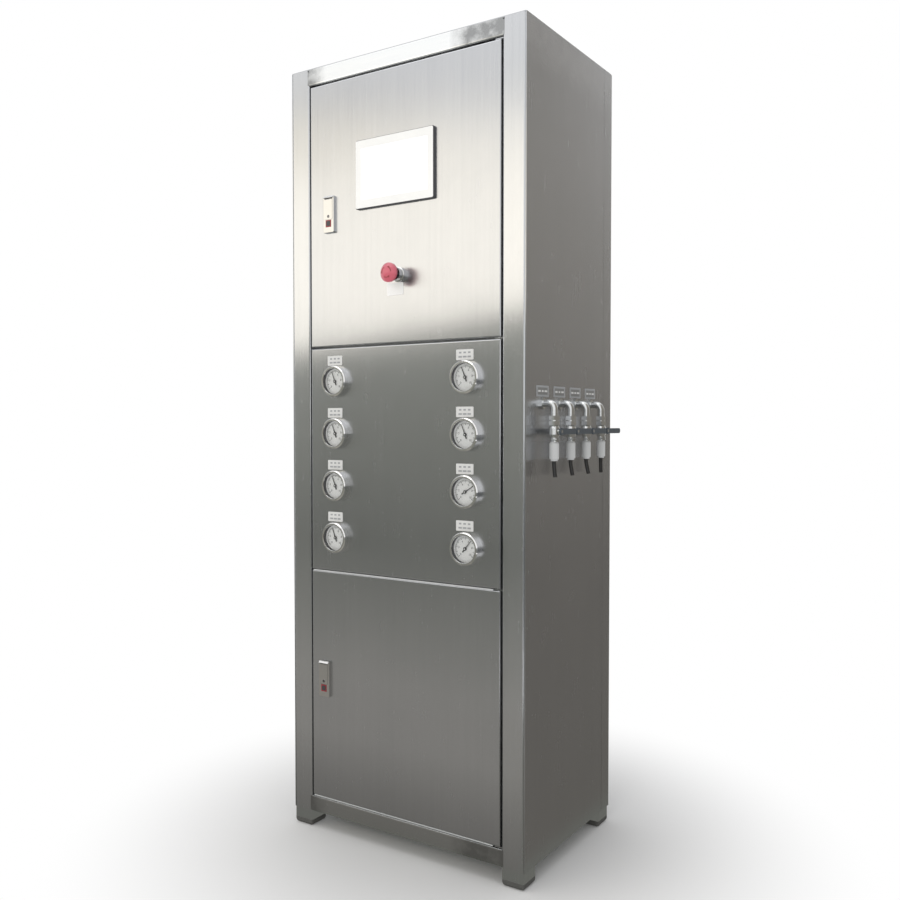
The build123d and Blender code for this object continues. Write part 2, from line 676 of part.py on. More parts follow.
def latch_button(x, z, grow):
    """The square push button, or with a clearance its well."""
    half = BUTTON_SIDE / 2 + grow
    middle = z - BUTTON_DROP
    face = FRONT - LATCH_PROUD - BUTTON_PROUD
    travel = BUTTON_TRAVEL + grow if grow else 0
    back = face + BUTTON_DEPTH + travel
    return block(x - half, x + half, face, back, middle - half, middle + half)


def latch_bolt(x, z, grow):
    """The sliding bolt behind the door, or with a clearance its way through the body."""
    half = BOLT_HEIGHT / 2 + grow
    tail = x + LATCH_BODY_WIDTH / 2 + BOLT_TAIL
    return block(BOLT_TIP_X, tail, BOLT_FRONT - grow, BOLT_FRONT + BOLT_THICK + grow, z - half, z + half)


def latch_paddle(x, z, grow):
    """The flap that lifts on a pin at its top, or with a clearance its pocket."""
    half = PADDLE_WIDTH / 2 + grow
    pivot_z = z + PADDLE_PIVOT_RISE
    low = pivot_z + PADDLE_THICK / 2 - PADDLE_HEIGHT - grow
    y0 = PADDLE_PIVOT_Y - PADDLE_THICK / 2
    y1 = PADDLE_PIVOT_Y + PADDLE_THICK / 2 + grow
    flap = block(x - half, x + half, y0, y1, low, pivot_z)
    if grow:
        top = pivot_z + PADDLE_THICK / 2 + grow
        return flap + block(x - half, x + half, y0, y1, pivot_z, top)
    return flap + rod_x(PADDLE_PIVOT_Y, pivot_z, x - half, x + half, PADDLE_THICK / 2)


def paddle_pin(x, z, grow):
    reach = PADDLE_WIDTH / 2 + SLIDE_CLEARANCE + PADDLE_PIN_REACH + grow
    return rod_x(PADDLE_PIVOT_Y, z + PADDLE_PIVOT_RISE, x - reach, x + reach, PADDLE_PIN_RADIUS + grow)


def latch_housing(x, z):
    """The face plate and body of a latch, with pockets for its paddle and button and a way for its bolt."""
    plate = extrude(RectangleRounded(LATCH_WIDTH, LATCH_HEIGHT, LATCH_CORNER), LATCH_PROUD)
    plate = fillet(plate.faces().sort_by(Axis.Z)[-1].edges(), LATCH_EDGE)
    housing = Pos(x, FRONT, z) * Rot(90, 0, 0) * plate
    half_width = LATCH_BODY_WIDTH / 2
    half_height = LATCH_BODY_HEIGHT / 2
    housing += block(x - half_width, x + half_width, FRONT, LATCH_BODY_BACK, z - half_height, z + half_height)
    housing -= latch_paddle(x, z, SLIDE_CLEARANCE)
    housing -= latch_button(x, z, SLIDE_CLEARANCE)
    housing -= latch_bolt(x, z, SLIDE_CLEARANCE)
    return housing - paddle_pin(x, z, RUNNING_CLEARANCE)


def latch_nodes(name, x, z):
    bolt = latch_bolt(x, z, 0)
    tip_edges = bolt.faces().sort_by(Axis.X)[0].edges().filter_by(Axis.Z)
    bolt = chamfer(tip_edges, BOLT_CHAMFER)
    return {
        f"{name}_latch_housing": [latch_housing(x, z)],
        f"{name}_latch_paddle": [latch_paddle(x, z, 0) + paddle_pin(x, z, 0)],
        f"{name}_latch_button": [latch_button(x, z, 0)],
        f"{name}_latch_bolt": [bolt],
    }


def screen_cutout():
    half_width = SCREEN_BODY_WIDTH / 2 + CUTOUT_CLEARANCE
    half_height = SCREEN_BODY_HEIGHT / 2 + CUTOUT_CLEARANCE
    sides = (SCREEN_X - half_width, SCREEN_X + half_width, FRONT - DOOR_SHEET, STOP_FRONT)
    return block(*sides, SCREEN_Z - half_height, SCREEN_Z + half_height)


def screen_glass(grow):
    half_width = GLASS_WIDTH / 2 + grow
    half_height = GLASS_HEIGHT / 2 + grow
    face = FRONT - SCREEN_PROUD
    sides = (SCREEN_X - half_width, SCREEN_X + half_width, face, face + GLASS_THICK)
    return block(*sides, SCREEN_Z - half_height, SCREEN_Z + half_height)


def screen_housing():
    """The screen's front frame with its bevelled rim, and the box behind it."""
    frame = extrude(RectangleRounded(SCREEN_WIDTH, SCREEN_HEIGHT, SCREEN_CORNER), SCREEN_PROUD)
    frame = chamfer(frame.faces().sort_by(Axis.Z)[-1].edges(), SCREEN_EDGE)
    housing = Pos(SCREEN_X, FRONT, SCREEN_Z) * Rot(90, 0, 0) * frame
    half_width = SCREEN_BODY_WIDTH / 2
    half_height = SCREEN_BODY_HEIGHT / 2
    sides = (SCREEN_X - half_width, SCREEN_X + half_width, FRONT, FRONT + SCREEN_BODY_DEPTH)
    housing += block(*sides, SCREEN_Z - half_height, SCREEN_Z + half_height)
    return [housing - screen_glass(SEAT_CLEARANCE)]


def estop_collar():
    """The flange, neck and threaded barrel that hold the stop button in the door."""
    bore = ESTOP_STEM_RADIUS + RUNNING_CLEARANCE
    outline = [
        (bore, -ESTOP_BARREL_DEPTH),
        (ESTOP_BARREL_RADIUS, -ESTOP_BARREL_DEPTH),
        (ESTOP_BARREL_RADIUS, 0),
        (ESTOP_FLANGE_RADIUS, 0),
        (ESTOP_FLANGE_RADIUS, ESTOP_FLANGE_THICK),
        (ESTOP_NECK_RADIUS, ESTOP_FLANGE_THICK + ESTOP_FLANGE_SLOPE),
        (ESTOP_NECK_RADIUS, ESTOP_NECK_REACH),
        (bore, ESTOP_NECK_REACH),
    ]
    return [front_turned(ESTOP_X, ESTOP_Z, outline)]


def estop_stem():
    rear = ESTOP_STEM_INSET - ESTOP_BARREL_DEPTH
    tip = ESTOP_HEAD_BACK + ESTOP_SPIGOT_LENGTH
    outline = [
        (0, rear),
        (ESTOP_STEM_RADIUS, rear),
        (ESTOP_STEM_RADIUS, ESTOP_HEAD_BACK),
        (ESTOP_SPIGOT_RADIUS, ESTOP_HEAD_BACK),
        (ESTOP_SPIGOT_RADIUS, tip),
        (0, tip),
    ]
    return [front_turned(ESTOP_X, ESTOP_Z, outline)]


def estop_head():
    """The mushroom head, which turns on the stem's spigot to release."""
    socket = ESTOP_SPIGOT_RADIUS + RUNNING_CLEARANCE
    socket_end = ESTOP_HEAD_BACK + ESTOP_SPIGOT_LENGTH + RUNNING_CLEARANCE
    rim_start = (ESTOP_HEAD_RADIUS, ESTOP_RIM_FRONT)
    crown = (0, ESTOP_HEAD_FRONT)
    sides = Polyline(
        crown,
        (0, socket_end),
        (socket, socket_end),
        (socket, ESTOP_HEAD_BACK),
        (ESTOP_HUB_RADIUS, ESTOP_HEAD_BACK),
        (ESTOP_HEAD_RADIUS, ESTOP_RIM_BACK),
        rim_start,
    )
    dome = TangentArc(crown, rim_start, tangent=(1, 0))
    solid = revolve(Plane.XZ * make_face([*sides.edges(), *dome.edges()]), Axis.Z)
    return [Pos(ESTOP_X, FRONT, ESTOP_Z) * Rot(90, 0, 0) * solid]


def estop_contact_block():
    """The contact block on the barrel's end, and the nut that clamps the barrel to the door."""
    y0 = FRONT + ESTOP_BARREL_DEPTH
    half_width = CONTACT_WIDTH / 2
    half_height = CONTACT_HEIGHT / 2
    sides = (ESTOP_X - half_width, ESTOP_X + half_width, y0, y0 + CONTACT_DEPTH)
    contacts = block(*sides, ESTOP_Z - half_height, ESTOP_Z + half_height)
    well = ESTOP_STEM_RADIUS + CONTACT_WELL_CLEARANCE
    contacts -= rod_y(ESTOP_X, ESTOP_Z, y0, y0 + ESTOP_TRAVEL + CONTACT_WELL_CLEARANCE, well)
    nut_front = FRONT + DOOR_SHEET
    nut = hex_y(ESTOP_X, ESTOP_Z, nut_front, nut_front + ESTOP_NUT_THICK, ESTOP_NUT_FLATS)
    nut -= rod_y(ESTOP_X, ESTOP_Z, nut_front, nut_front + ESTOP_NUT_THICK, ESTOP_BARREL_RADIUS)
    return [contacts, nut]


def gauge_places():
    """The gauges' middles, down the left column and then down the right one."""
    for x in GAUGE_COLUMNS:
        for row in range(GAUGE_ROWS):
            yield x, GAUGE_TOP_Z - row * GAUGE_PITCH


def gauge_case():
    """A gauge's cup with its rolled bezel, and the square end and stub of its pressure connection."""
    cup = CASE_RADIUS - CASE_WALL
    lens_front = BEZEL_PROUD - BEZEL_LIP
    outline = [
        (0, -CASE_DEPTH),
        (CASE_RADIUS, -CASE_DEPTH),
        (CASE_RADIUS, 0),
        (BEZEL_RADIUS, 0),
        (BEZEL_RADIUS, BEZEL_PROUD - BEZEL_EDGE),
        (BEZEL_RADIUS - BEZEL_EDGE, BEZEL_PROUD),
        (BEZEL_WINDOW + BEZEL_LIP / 2, BEZEL_PROUD),
        (BEZEL_WINDOW, lens_front),
        (cup, lens_front),
        (cup, DIAL_PROUD - DIAL_THICK),
        (0, DIAL_PROUD - DIAL_THICK),
    ]
    hex_end = -CASE_DEPTH - GAUGE_HEX_LENGTH
    case = turned(outline) + hex_z(0, 0, hex_end, -CASE_DEPTH, GAUGE_HEX_FLATS)
    return case + rod_z(0, 0, hex_end - GAUGE_STUB_LENGTH, hex_end, GAUGE_STUB_RADIUS)


def gauge_dial():
    """A dial plate with the spindle that the pointer turns on."""
    plate = rod_z(0, 0, DIAL_PROUD - DIAL_THICK, DIAL_PROUD, CASE_RADIUS - CASE_WALL - SEAT_CLEARANCE)
    return plate + rod_z(0, 0, DIAL_PROUD, DIAL_PROUD + SPINDLE_REACH, SPINDLE_RADIUS)


def gauge_lens():
    front = BEZEL_PROUD - BEZEL_LIP
    return rod_z(0, 0, front - LENS_THICK, front, CASE_RADIUS - CASE_WALL - SEAT_CLEARANCE)


def gauge_pointer(reading):
    """A pointer with a tapered blade, a counterweight and a hub, turned to its reading from straight up."""
    low = DIAL_PROUD + POINTER_LIFT
    blade = Polyline(
        (-POINTER_ROOT / 2, -POINTER_TAIL),
        (POINTER_ROOT / 2, -POINTER_TAIL),
        (POINTER_TIP / 2, POINTER_LENGTH),
        (-POINTER_TIP / 2, POINTER_LENGTH),
        close=True,
    )
    lift = low + (POINTER_HUB_THICK - POINTER_THICK) / 2
    pointer = Pos(0, 0, lift) * extrude(make_face(blade), POINTER_THICK)
    pointer += rod_z(0, 0, low, low + POINTER_HUB_THICK, POINTER_HUB_RADIUS)
    pointer -= rod_z(0, 0, low, low + POINTER_HUB_THICK, SPINDLE_RADIUS + RUNNING_CLEARANCE)
    return Rot(0, 0, -reading) * pointer


def on_front(x, z, solid):
    """Sets a piece drawn along +Z on the front, facing forward."""
    return Pos(x, FRONT, z) * Rot(90, 0, 0) * solid


def gauge_panel():
    panel = sheet_pan(PANEL_SPAN, STOP_FRONT - FRONT)
    for x, z in gauge_places():
        panel -= rod_y(x, z, FRONT - DOOR_SHEET, FRONT + 2 * DOOR_SHEET, CASE_RADIUS)
    return [panel]


def gauge_nodes():
    places = list(gauge_places())
    nodes = {
        "gauge_panel": gauge_panel(),
        "gauge_cases": [on_front(x, z, gauge_case()) for x, z in places],
        "gauge_dials": [on_front(x, z, gauge_dial()) for x, z in places],
        "gauge_lenses": [on_front(x, z, gauge_lens()) for x, z in places],
    }
    for i, (x, z) in enumerate(places):
        nodes[f"gauge_pointer_{i + 1}"] = [on_front(x, z, gauge_pointer(POINTER_READINGS[i]))]
    return nodes


def outlet_elbow(y):
    """An elbow from the side panel down to its half of the union, and the lock nut behind the panel."""
    path_points = [(RIGHT, y, OUTLET_Z), (OUTLET_X, y, OUTLET_Z), (OUTLET_X, y, UNION_Z - UNION_HEX)]
    elbow = bent_pipe(path_points, OUTLET_PIPE_RADIUS, OUTLET_BEND)
    elbow += hex_x(y, OUTLET_Z, RIGHT, RIGHT + OUTLET_FLANGE_THICK, OUTLET_HEX_FLATS)
    elbow += rod_x(y, OUTLET_Z, FRAME_X - OUTLET_THREAD, RIGHT, OUTLET_PIPE_RADIUS)
    elbow += hex_z(OUTLET_X, y, UNION_Z - UNION_HEX, UNION_Z, OUTLET_HEX_FLATS)
    bore_points = [(FRAME_X - OUTLET_THREAD, y, OUTLET_Z), *path_points[1:]]
    elbow -= bent_pipe(bore_points, OUTLET_BORE_RADIUS, OUTLET_BEND)
    nut = hex_x(y, OUTLET_Z, FRAME_X - LOCKNUT_THICK, FRAME_X, LOCKNUT_FLATS)
    nut -= rod_x(y, OUTLET_Z, FRAME_X - LOCKNUT_THICK, FRAME_X, OUTLET_PIPE_RADIUS)
    return [elbow, nut]


def outlet_valve_body(y):
    """A ball valve body: the other half of the union, a bulged middle, a stem boss and a threaded tail."""
    lower_hex = VALVE_TOP + UNION_HEX
    outline = [
        (0, CONNECTOR_TOP),
        (CONNECTOR_NECK_RADIUS, CONNECTOR_TOP),
        (CONNECTOR_NECK_RADIUS, VALVE_LOW),
        (VALVE_WAIST_RADIUS, VALVE_LOW),
        (VALVE_RADIUS, VALVE_LOW + VALVE_HALF / 2),
        (VALVE_RADIUS, VALVE_TOP - VALVE_HALF / 2),
        (VALVE_WAIST_RADIUS, VALVE_TOP),
        (UNION_NECK_RADIUS, lower_hex),
        (UNION_NECK_RADIUS, lower_hex + UNION_NECK),
        (0, lower_hex + UNION_NECK),
    ]
    body = Pos(OUTLET_X, y, 0) * turned(outline)
    body += hex_z(OUTLET_X, y, VALVE_TOP, lower_hex, OUTLET_HEX_FLATS)
    body += rod_x(y, VALVE_Z, OUTLET_X, OUTLET_X + VALVE_BOSS_REACH, VALVE_BOSS_RADIUS)
    return body + rod_x(y, VALVE_Z, OUTLET_X, LEVER_OUTER_X, SPINDLE_PIN_RADIUS)


def outlet_lever(y):
    """A flat lever on the valve's stem, pointing to the back when shut."""
    arm = SlotOverall(LEVER_REACH + LEVER_WIDTH / 2, LEVER_WIDTH)
    arm = Pos(LEVER_REACH / 2 - LEVER_WIDTH / 4, 0) * arm
    outline = arm + Circle(LEVER_HUB_RADIUS) - Circle(SPINDLE_PIN_RADIUS + RUNNING_CLEARANCE)
    plate = extrude(outline, LEVER_THICK)
    seat = Plane((LEVER_INNER_X, y, VALVE_Z), x_dir=(0, 1, 0), z_dir=(1, 0, 0))
    return seat * plate


def outlet_connector(y):
    """A push-in tube connector with a rounded body and a collet."""
    bore = TUBE_STUB_RADIUS
    bore_top = CONNECTOR_LOW + TUBE_STUB_INSERT
    outline = [
        (0, bore_top),
        (bore, bore_top),
        (bore, COLLET_LOW),
        (COLLET_RADIUS, COLLET_LOW),
        (COLLET_RADIUS, CONNECTOR_LOW),
        (CONNECTOR_RADIUS - CONNECTOR_EDGE, CONNECTOR_LOW),
        (CONNECTOR_RADIUS, CONNECTOR_LOW + CONNECTOR_EDGE),
        (CONNECTOR_RADIUS, CONNECTOR_TOP - CONNECTOR_NECK),
        (CONNECTOR_NECK_RADIUS, CONNECTOR_TOP),
        (0, CONNECTOR_TOP),
    ]
    return Pos(OUTLET_X, y, 0) * turned(outline)


def tube_stub_end(lean):
    """Where a stub's lower end lies from the outlet's axis and from the floor."""
    straight_end = COLLET_LOW - TUBE_STUB_STRAIGHT
    free = TUBE_STUB_FREE - TUBE_STUB_STRAIGHT
    return OUTLET_X + free * sin(radians(lean)), straight_end - free * cos(radians(lean))


def outlet_tube(y, lean):
    """A short stub of tube in the connector, leaning outward below it."""
    top = CONNECTOR_LOW + TUBE_STUB_INSERT
    end_x, end_z = tube_stub_end(lean)
    if lean == 0:
        return rod_z(OUTLET_X, y, end_z, top, TUBE_STUB_RADIUS)
    knee = COLLET_LOW - TUBE_STUB_STRAIGHT
    points = [(OUTLET_X, y, top), (OUTLET_X, y, knee), (end_x, y, end_z)]
    return bent_pipe(points, TUBE_STUB_RADIUS, TUBE_STUB_BEND)


def outlet_nodes():
    ys = outlet_ys()
    nodes = {
        "outlet_elbows": [piece for y in ys for piece in outlet_elbow(y)],
        "outlet_valve_bodies": [outlet_valve_body(y) for y in ys],
        "outlet_connectors": [outlet_connector(y) for y in ys],
        "outlet_tubes": [outlet_tube(y, lean) for y, lean in zip(ys, TUBE_STUB_LEANS)],
    }
    for i, y in enumerate(ys):
        nodes[f"outlet_lever_{i + 1}"] = [outlet_lever(y)]
    return nodes


def din_rail(z):
    """A top-hat rail: a raised crown between two flanges."""
    half = OPENING_X - DIN_SIDE_MARGIN
    crown = DIN_CROWN / 2
    flange = block(-half, half, DIN_FRONT, DIN_FRONT + DIN_FOLD, z - DIN_HEIGHT / 2, z + DIN_HEIGHT / 2)
    web = block(-half, half, DIN_FRONT, PLATE_FRONT, z - crown, z + crown)
    groove = (DIN_FRONT, PLATE_FRONT - DIN_FOLD, z - crown + DIN_FOLD, z + crown - DIN_FOLD)
    return flange + web - block(-half, half, *groove)


def electrical_plate():
    plate = block(-PLATE_X, PLATE_X, PLATE_FRONT, POST_REAR, PLATE_LOW, PLATE_HIGH)
    return [plate, *[din_rail(z) for z in DIN_ROWS]]


def wiring_ducts():
    """Cable ducts across the plate, each with an overlapping lid."""
    ducts = []
    half = OPENING_X - DUCT_SIDE_MARGIN
    for z in DUCT_ROWS:
        low = z - DUCT_HEIGHT / 2
        high = z + DUCT_HEIGHT / 2
        front = PLATE_FRONT - DUCT_DEPTH
        lid = block(-half, half, front, front + DUCT_LID, low - DUCT_LID_OVERLAP, high + DUCT_LID_OVERLAP)
        ducts.append(block(-half, half, front, PLATE_FRONT, low, high) + lid)
    return ducts


def control_modules():
    """The controller, power supply, breakers, contactors, relays and terminals, clipped to their rails."""
    modules = []
    for z, row in zip(DIN_ROWS, MODULE_ROWS):
        row_width = sum(width for width, _, _ in row) + MODULE_GAP * (len(row) - 1)
        left = -row_width / 2
        for width, height, depth in row:
            front = DIN_FRONT - depth
            nose = height * MODULE_NOSE_SHARE / 2
            sides = (left, left + width)
            body = block(*sides, front + MODULE_STEP, DIN_FRONT, z - height / 2, z + height / 2)
            modules.append(body + block(*sides, front, DIN_FRONT, z - nose, z + nose))
            left += width + MODULE_GAP
    return modules


def inner_shelves():
    """The sheet between the dry and the wet compartment, and the shelf that carries the prefilters."""
    x = FRAME_X
    front = STOP_BACK + CROSS_RAIL_DEPTH
    divider = block(-x, x, POST_FRONT, POST_REAR, DIVIDER_Z, DIVIDER_Z + DIVIDER_THICK)
    divider += block(-OPENING_X, OPENING_X, STOP_BACK, POST_FRONT, DIVIDER_Z, DIVIDER_Z + DIVIDER_THICK)
    shelf_top = FILTER_SHELF_Z + FILTER_SHELF_THICK
    shelf_back = FILTER_Y + FILTER_SHELF_OVERHANG
    shelf = block(-OPENING_X, OPENING_X, front, shelf_back, FILTER_SHELF_Z, shelf_top)
    return [divider, shelf]


def prefilter_heads():
    """Filter heads under the shelf, each with an inlet and an outlet port."""
    low = FILTER_SHELF_Z - FILTER_HEAD_HEIGHT
    middle = FILTER_SHELF_Z - FILTER_HEAD_HEIGHT / 2
    heads = []
    for x in FILTER_XS:
        head = rod_z(x, FILTER_Y, low, FILTER_SHELF_Z, FILTER_HEAD_RADIUS)
        head += rod_x(FILTER_Y, middle, x - FILTER_PORT_REACH, x + FILTER_PORT_REACH, FILTER_PORT_RADIUS)
        heads.append(head)
    return heads


def prefilter_bowls():
    """Screw-on bowls with a ribbed collar's outline, drawn in towards a rounded foot."""
    top = FILTER_SHELF_Z - FILTER_HEAD_HEIGHT
    low = top - BOWL_HEIGHT
    collar_low = top - BOWL_COLLAR_HEIGHT
    outline = [
        (0, low),
        (BOWL_FOOT_RADIUS - BOWL_ROUND, low),
        (BOWL_FOOT_RADIUS, low + BOWL_ROUND),
        (BOWL_RADIUS, collar_low),
        (BOWL_COLLAR_RADIUS, collar_low),
        (BOWL_COLLAR_RADIUS, top),
        (0, top),
    ]
    return [Pos(x, FILTER_Y, 0) * turned(outline) for x in FILTER_XS]


def upright_column(x, radius, low, high):
    """A column between two caps that stand out past its wall."""
    cap = radius + CAP_LIP
    outline = [
        (0, low),
        (cap, low),
        (cap, low + CAP_HEIGHT),
        (radius, low + CAP_HEIGHT),
        (radius, high - CAP_HEIGHT),
        (cap, high - CAP_HEIGHT),
        (cap, high),
        (0, high),
    ]
    return Pos(x, VESSEL_Y, 0) * turned(outline)


def column_struts():
    """Struts between the rear posts, and the clamps that hold the columns to them."""
    half = FRAME_X - STRUT_SIDE_MARGIN
    columns = [(x, VESSEL_RADIUS) for x in VESSEL_XS] + [(x, POLISHER_RADIUS) for x in POLISHER_XS]
    pieces = []
    for z in STRUT_ROWS:
        strut = (z - STRUT_HEIGHT / 2, z + STRUT_HEIGHT / 2)
        pieces.append(tube_along_x(-half, half, STRUT_FRONT, POST_REAR, *strut))
        low = z - CLAMP_HEIGHT / 2
        high = z + CLAMP_HEIGHT / 2
        for x, radius in columns:
            clamp = rod_z(x, VESSEL_Y, low, high, radius + CLAMP_THICK)
            clamp += block(x - CLAMP_FOOT / 2, x + CLAMP_FOOT / 2, VESSEL_Y, STRUT_FRONT, low, high)
            pieces.append(clamp - rod_z(x, VESSEL_Y, low, high, radius + SEAT_CLEARANCE))
    return pieces


def pump_levels():
    """The heights of the pump's joints, from its base up."""
    levels = [TRAY_TOP]
    for height in PUMP_STAGES:
        levels.append(levels[-1] + height)
    return levels


def pump_port_z():
    return TRAY_TOP + PUMP_BASE_THICK + PUMP_VOLUTE_HEIGHT / 2


def booster_pump():
    """An upright multistage pump: base and volute, stage stack, and a finned motor under its fan cover."""
    base, volute, stack, lantern, motor, fan = pump_levels()
    half_width = PUMP_BASE_WIDTH / 2
    half_depth = PUMP_BASE_DEPTH / 2
    sides = (PUMP_X - half_width, PUMP_X + half_width, VESSEL_Y - half_depth, VESSEL_Y + half_depth)
    pump = block(*sides, base, volute)
    pump += rod_z(PUMP_X, VESSEL_Y, volute, stack, PUMP_VOLUTE_RADIUS)
    pump += rod_x(VESSEL_Y, pump_port_z(), PUMP_X - PUMP_PORT_REACH, PUMP_X, PUMP_PORT_RADIUS)
    pump += rod_y(PUMP_X, pump_port_z(), VESSEL_Y - PUMP_PORT_REACH, VESSEL_Y, PUMP_PORT_RADIUS)
    pump += rod_z(PUMP_X, VESSEL_Y, stack, lantern, PUMP_STACK_RADIUS)
    drive = rod_z(PUMP_X, VESSEL_Y, lantern, motor, PUMP_LANTERN_RADIUS)
    drive += rod_z(PUMP_X, VESSEL_Y, motor, fan, MOTOR_RADIUS - MOTOR_FIN_HEIGHT)
    fin = block(0, MOTOR_RADIUS, -MOTOR_FIN_THICK / 2, MOTOR_FIN_THICK / 2, motor, fan)
    axis = Pos(PUMP_X, VESSEL_Y, 0)
    drive += [axis * Rot(0, 0, i * 360 / MOTOR_FIN_COUNT) * fin for i in range(MOTOR_FIN_COUNT)]
    cover = rod_z(PUMP_X, VESSEL_Y, fan, fan + FAN_COVER_HEIGHT, FAN_COVER_RADIUS)
    cover = fillet(cover.faces().sort_by(Axis.Z)[-1].edges(), FAN_COVER_ROUND)
    return [pump, drive, cover]


def product_manifold():
    """The square bar behind the right side panel that feeds the outlets."""
    ys = outlet_ys()
    half = MANIFOLD_SIDE / 2
    ends = (ys[0] - half, ys[-1] + MANIFOLD_SIDE)
    return block(MANIFOLD_X - MANIFOLD_SIDE, MANIFOLD_X, *ends, OUTLET_Z - half, OUTLET_Z + half)


def hoop(x0, z0, x1, z1, y, level):
    """A pipe from one port up or down to a level, across and back to another port."""
    return [(x0, y, z0), (x0, y, level), (x1, y, level), (x1, y, z1)]


def pipework():
    """Pipes from the feed inlet through the filters and the pump to the outlets and the drain."""
    port_z = FILTER_SHELF_Z - FILTER_HEAD_HEIGHT / 2
    inlet_x, drain_x = FITTING_XS
    fitting_y = BACK - FITTING_INSET
    first_vessel, second_vessel = VESSEL_XS
    first_polisher, second_polisher = POLISHER_XS
    feed = [
        (inlet_x, fitting_y, FITTING_Z),
        (inlet_x, FILTER_Y, FITTING_Z),
        (PIPE_SIDE_X, FILTER_Y, FITTING_Z),
        (PIPE_SIDE_X, FILTER_Y, port_z),
        (FILTER_XS[0] - FILTER_PORT_REACH, FILTER_Y, port_z),
    ]
    suction = [
        (FILTER_XS[-1] + FILTER_PORT_REACH, FILTER_Y, port_z),
        (PIPE_RETURN_X, FILTER_Y, port_z),
        (PIPE_RETURN_X, FILTER_Y, pump_port_z()),
        (PUMP_X, FILTER_Y, pump_port_z()),
        (PUMP_X, VESSEL_Y - PUMP_PORT_REACH, pump_port_z()),
    ]
    pressure = [
        (PUMP_X - PUMP_PORT_REACH, VESSEL_Y, pump_port_z()),
        (second_vessel, VESSEL_Y, pump_port_z()),
        (second_vessel, VESSEL_Y, VESSEL_LOW),
    ]
    concentrate = [
        (drain_x, VESSEL_Y, VESSEL_LOW),
        (drain_x, VESSEL_Y, FITTING_Z),
        (drain_x, fitting_y, FITTING_Z),
    ]
    brine_y = VESSEL_Y - BRINE_PORT_OFFSET
    brine = hoop(first_vessel, VESSEL_HIGH, second_vessel, VESSEL_HIGH, brine_y, PIPE_TOP_Z)
    permeate = hoop(second_vessel, VESSEL_HIGH, first_polisher, POLISHER_HIGH, VESSEL_Y, PIPE_TOP_Z)
    link_level = POLISHER_LOW - PIPE_RISE
    link = hoop(first_polisher, POLISHER_LOW, second_polisher, POLISHER_LOW, VESSEL_Y, link_level)
    manifold_x = MANIFOLD_X - MANIFOLD_SIDE / 2
    manifold_top = OUTLET_Z + MANIFOLD_SIDE / 2
    product = hoop(second_polisher, POLISHER_HIGH, manifold_x, manifold_top, VESSEL_Y, PIPE_TOP_Z)
    runs = (feed, suction, pressure, concentrate, brine, permeate, link, product)
    pipes = [bent_pipe(points, PIPE_RADIUS, PIPE_BEND) for points in runs]
    for a, b in zip(FILTER_XS, FILTER_XS[1:]):
        pipes.append(rod_x(FILTER_Y, port_z, a + FILTER_PORT_REACH, b - FILTER_PORT_REACH, PIPE_RADIUS))
    return [*pipes, product_manifold()]


def door_nodes():
    upper_cuts = [
        screen_cutout(),
        latch_cutout(UPPER_LATCH_X, UPPER_LATCH_Z),
        rod_y(ESTOP_X, ESTOP_Z, FRONT - DOOR_SHEET, FRONT + 2 * DOOR_SHEET, ESTOP_BARREL_RADIUS),
    ]
    lower_cuts = [latch_cutout(LOWER_LATCH_X, LOWER_LATCH_Z)]
    return {
        "hinge_pintles": hinge_pintles(),
        "upper_door": hinged_door(UPPER_DOOR_SPAN, upper_cuts),
        "upper_door_gasket": door_gasket(UPPER_DOOR_SPAN),
        "lower_door": hinged_door(LOWER_DOOR_SPAN, lower_cuts),
        "lower_door_gasket": door_gasket(LOWER_DOOR_SPAN),
        **latch_nodes("upper", UPPER_LATCH_X, UPPER_LATCH_Z),
        **latch_nodes("lower", LOWER_LATCH_X, LOWER_LATCH_Z),
        "screen_housing": screen_housing(),
        "screen_glass": [screen_glass(0)],
        "estop_collar": estop_collar(),
        "estop_stem": estop_stem(),
        "estop_head": estop_head(),
        "estop_contact_block": estop_contact_block(),
    }


def cabinet_nodes():
    return {
        "frame_posts": frame_posts(),
        "frame_rails": frame_rails(),
        "foot_caps": foot_caps(),
        "door_stops": door_stops(),
        "left_side_panel": side_panel(-1),
        "right_side_panel": right_side_panel(),
        "rear_panel": rear_panel(),
        "rear_fittings": rear_fittings(),
        "top_panel": top_panel(),
        "base_tray": base_tray(),
        "inner_shelves": inner_shelves(),
    }


def inner_nodes():
    vessels = [upright_column(x, VESSEL_RADIUS, VESSEL_LOW, VESSEL_HIGH) for x in VESSEL_XS]
    polishers = [upright_column(x, POLISHER_RADIUS, POLISHER_LOW, POLISHER_HIGH) for x in POLISHER_XS]
    return {
        "electrical_plate": electrical_plate(),
        "wiring_ducts": wiring_ducts(),
        "control_modules": control_modules(),
        "prefilter_heads": prefilter_heads(),
        "prefilter_bowls": prefilter_bowls(),
        "ro_vessels": vessels,
        "polishing_columns": polishers,
        "column_struts": column_struts(),
        "booster_pump": booster_pump(),
        "pipework": pipework(),
    }


def main():
    os.makedirs("parts", exist_ok=True)
    nodes = {**cabinet_nodes(), **door_nodes(), **gauge_nodes(), **outlet_nodes(), **inner_nodes()}
    for name, pieces in nodes.items():
        placed = [Pos(-ORIGIN_X, -ORIGIN_Y, 0) * piece for piece in pieces]
        export_step(Compound(children=placed), f"parts/{name}.step")


if __name__ == "__main__":
    main()
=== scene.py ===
"""Finishes, small fittings and studio of a floor-standing laboratory water purifier."""

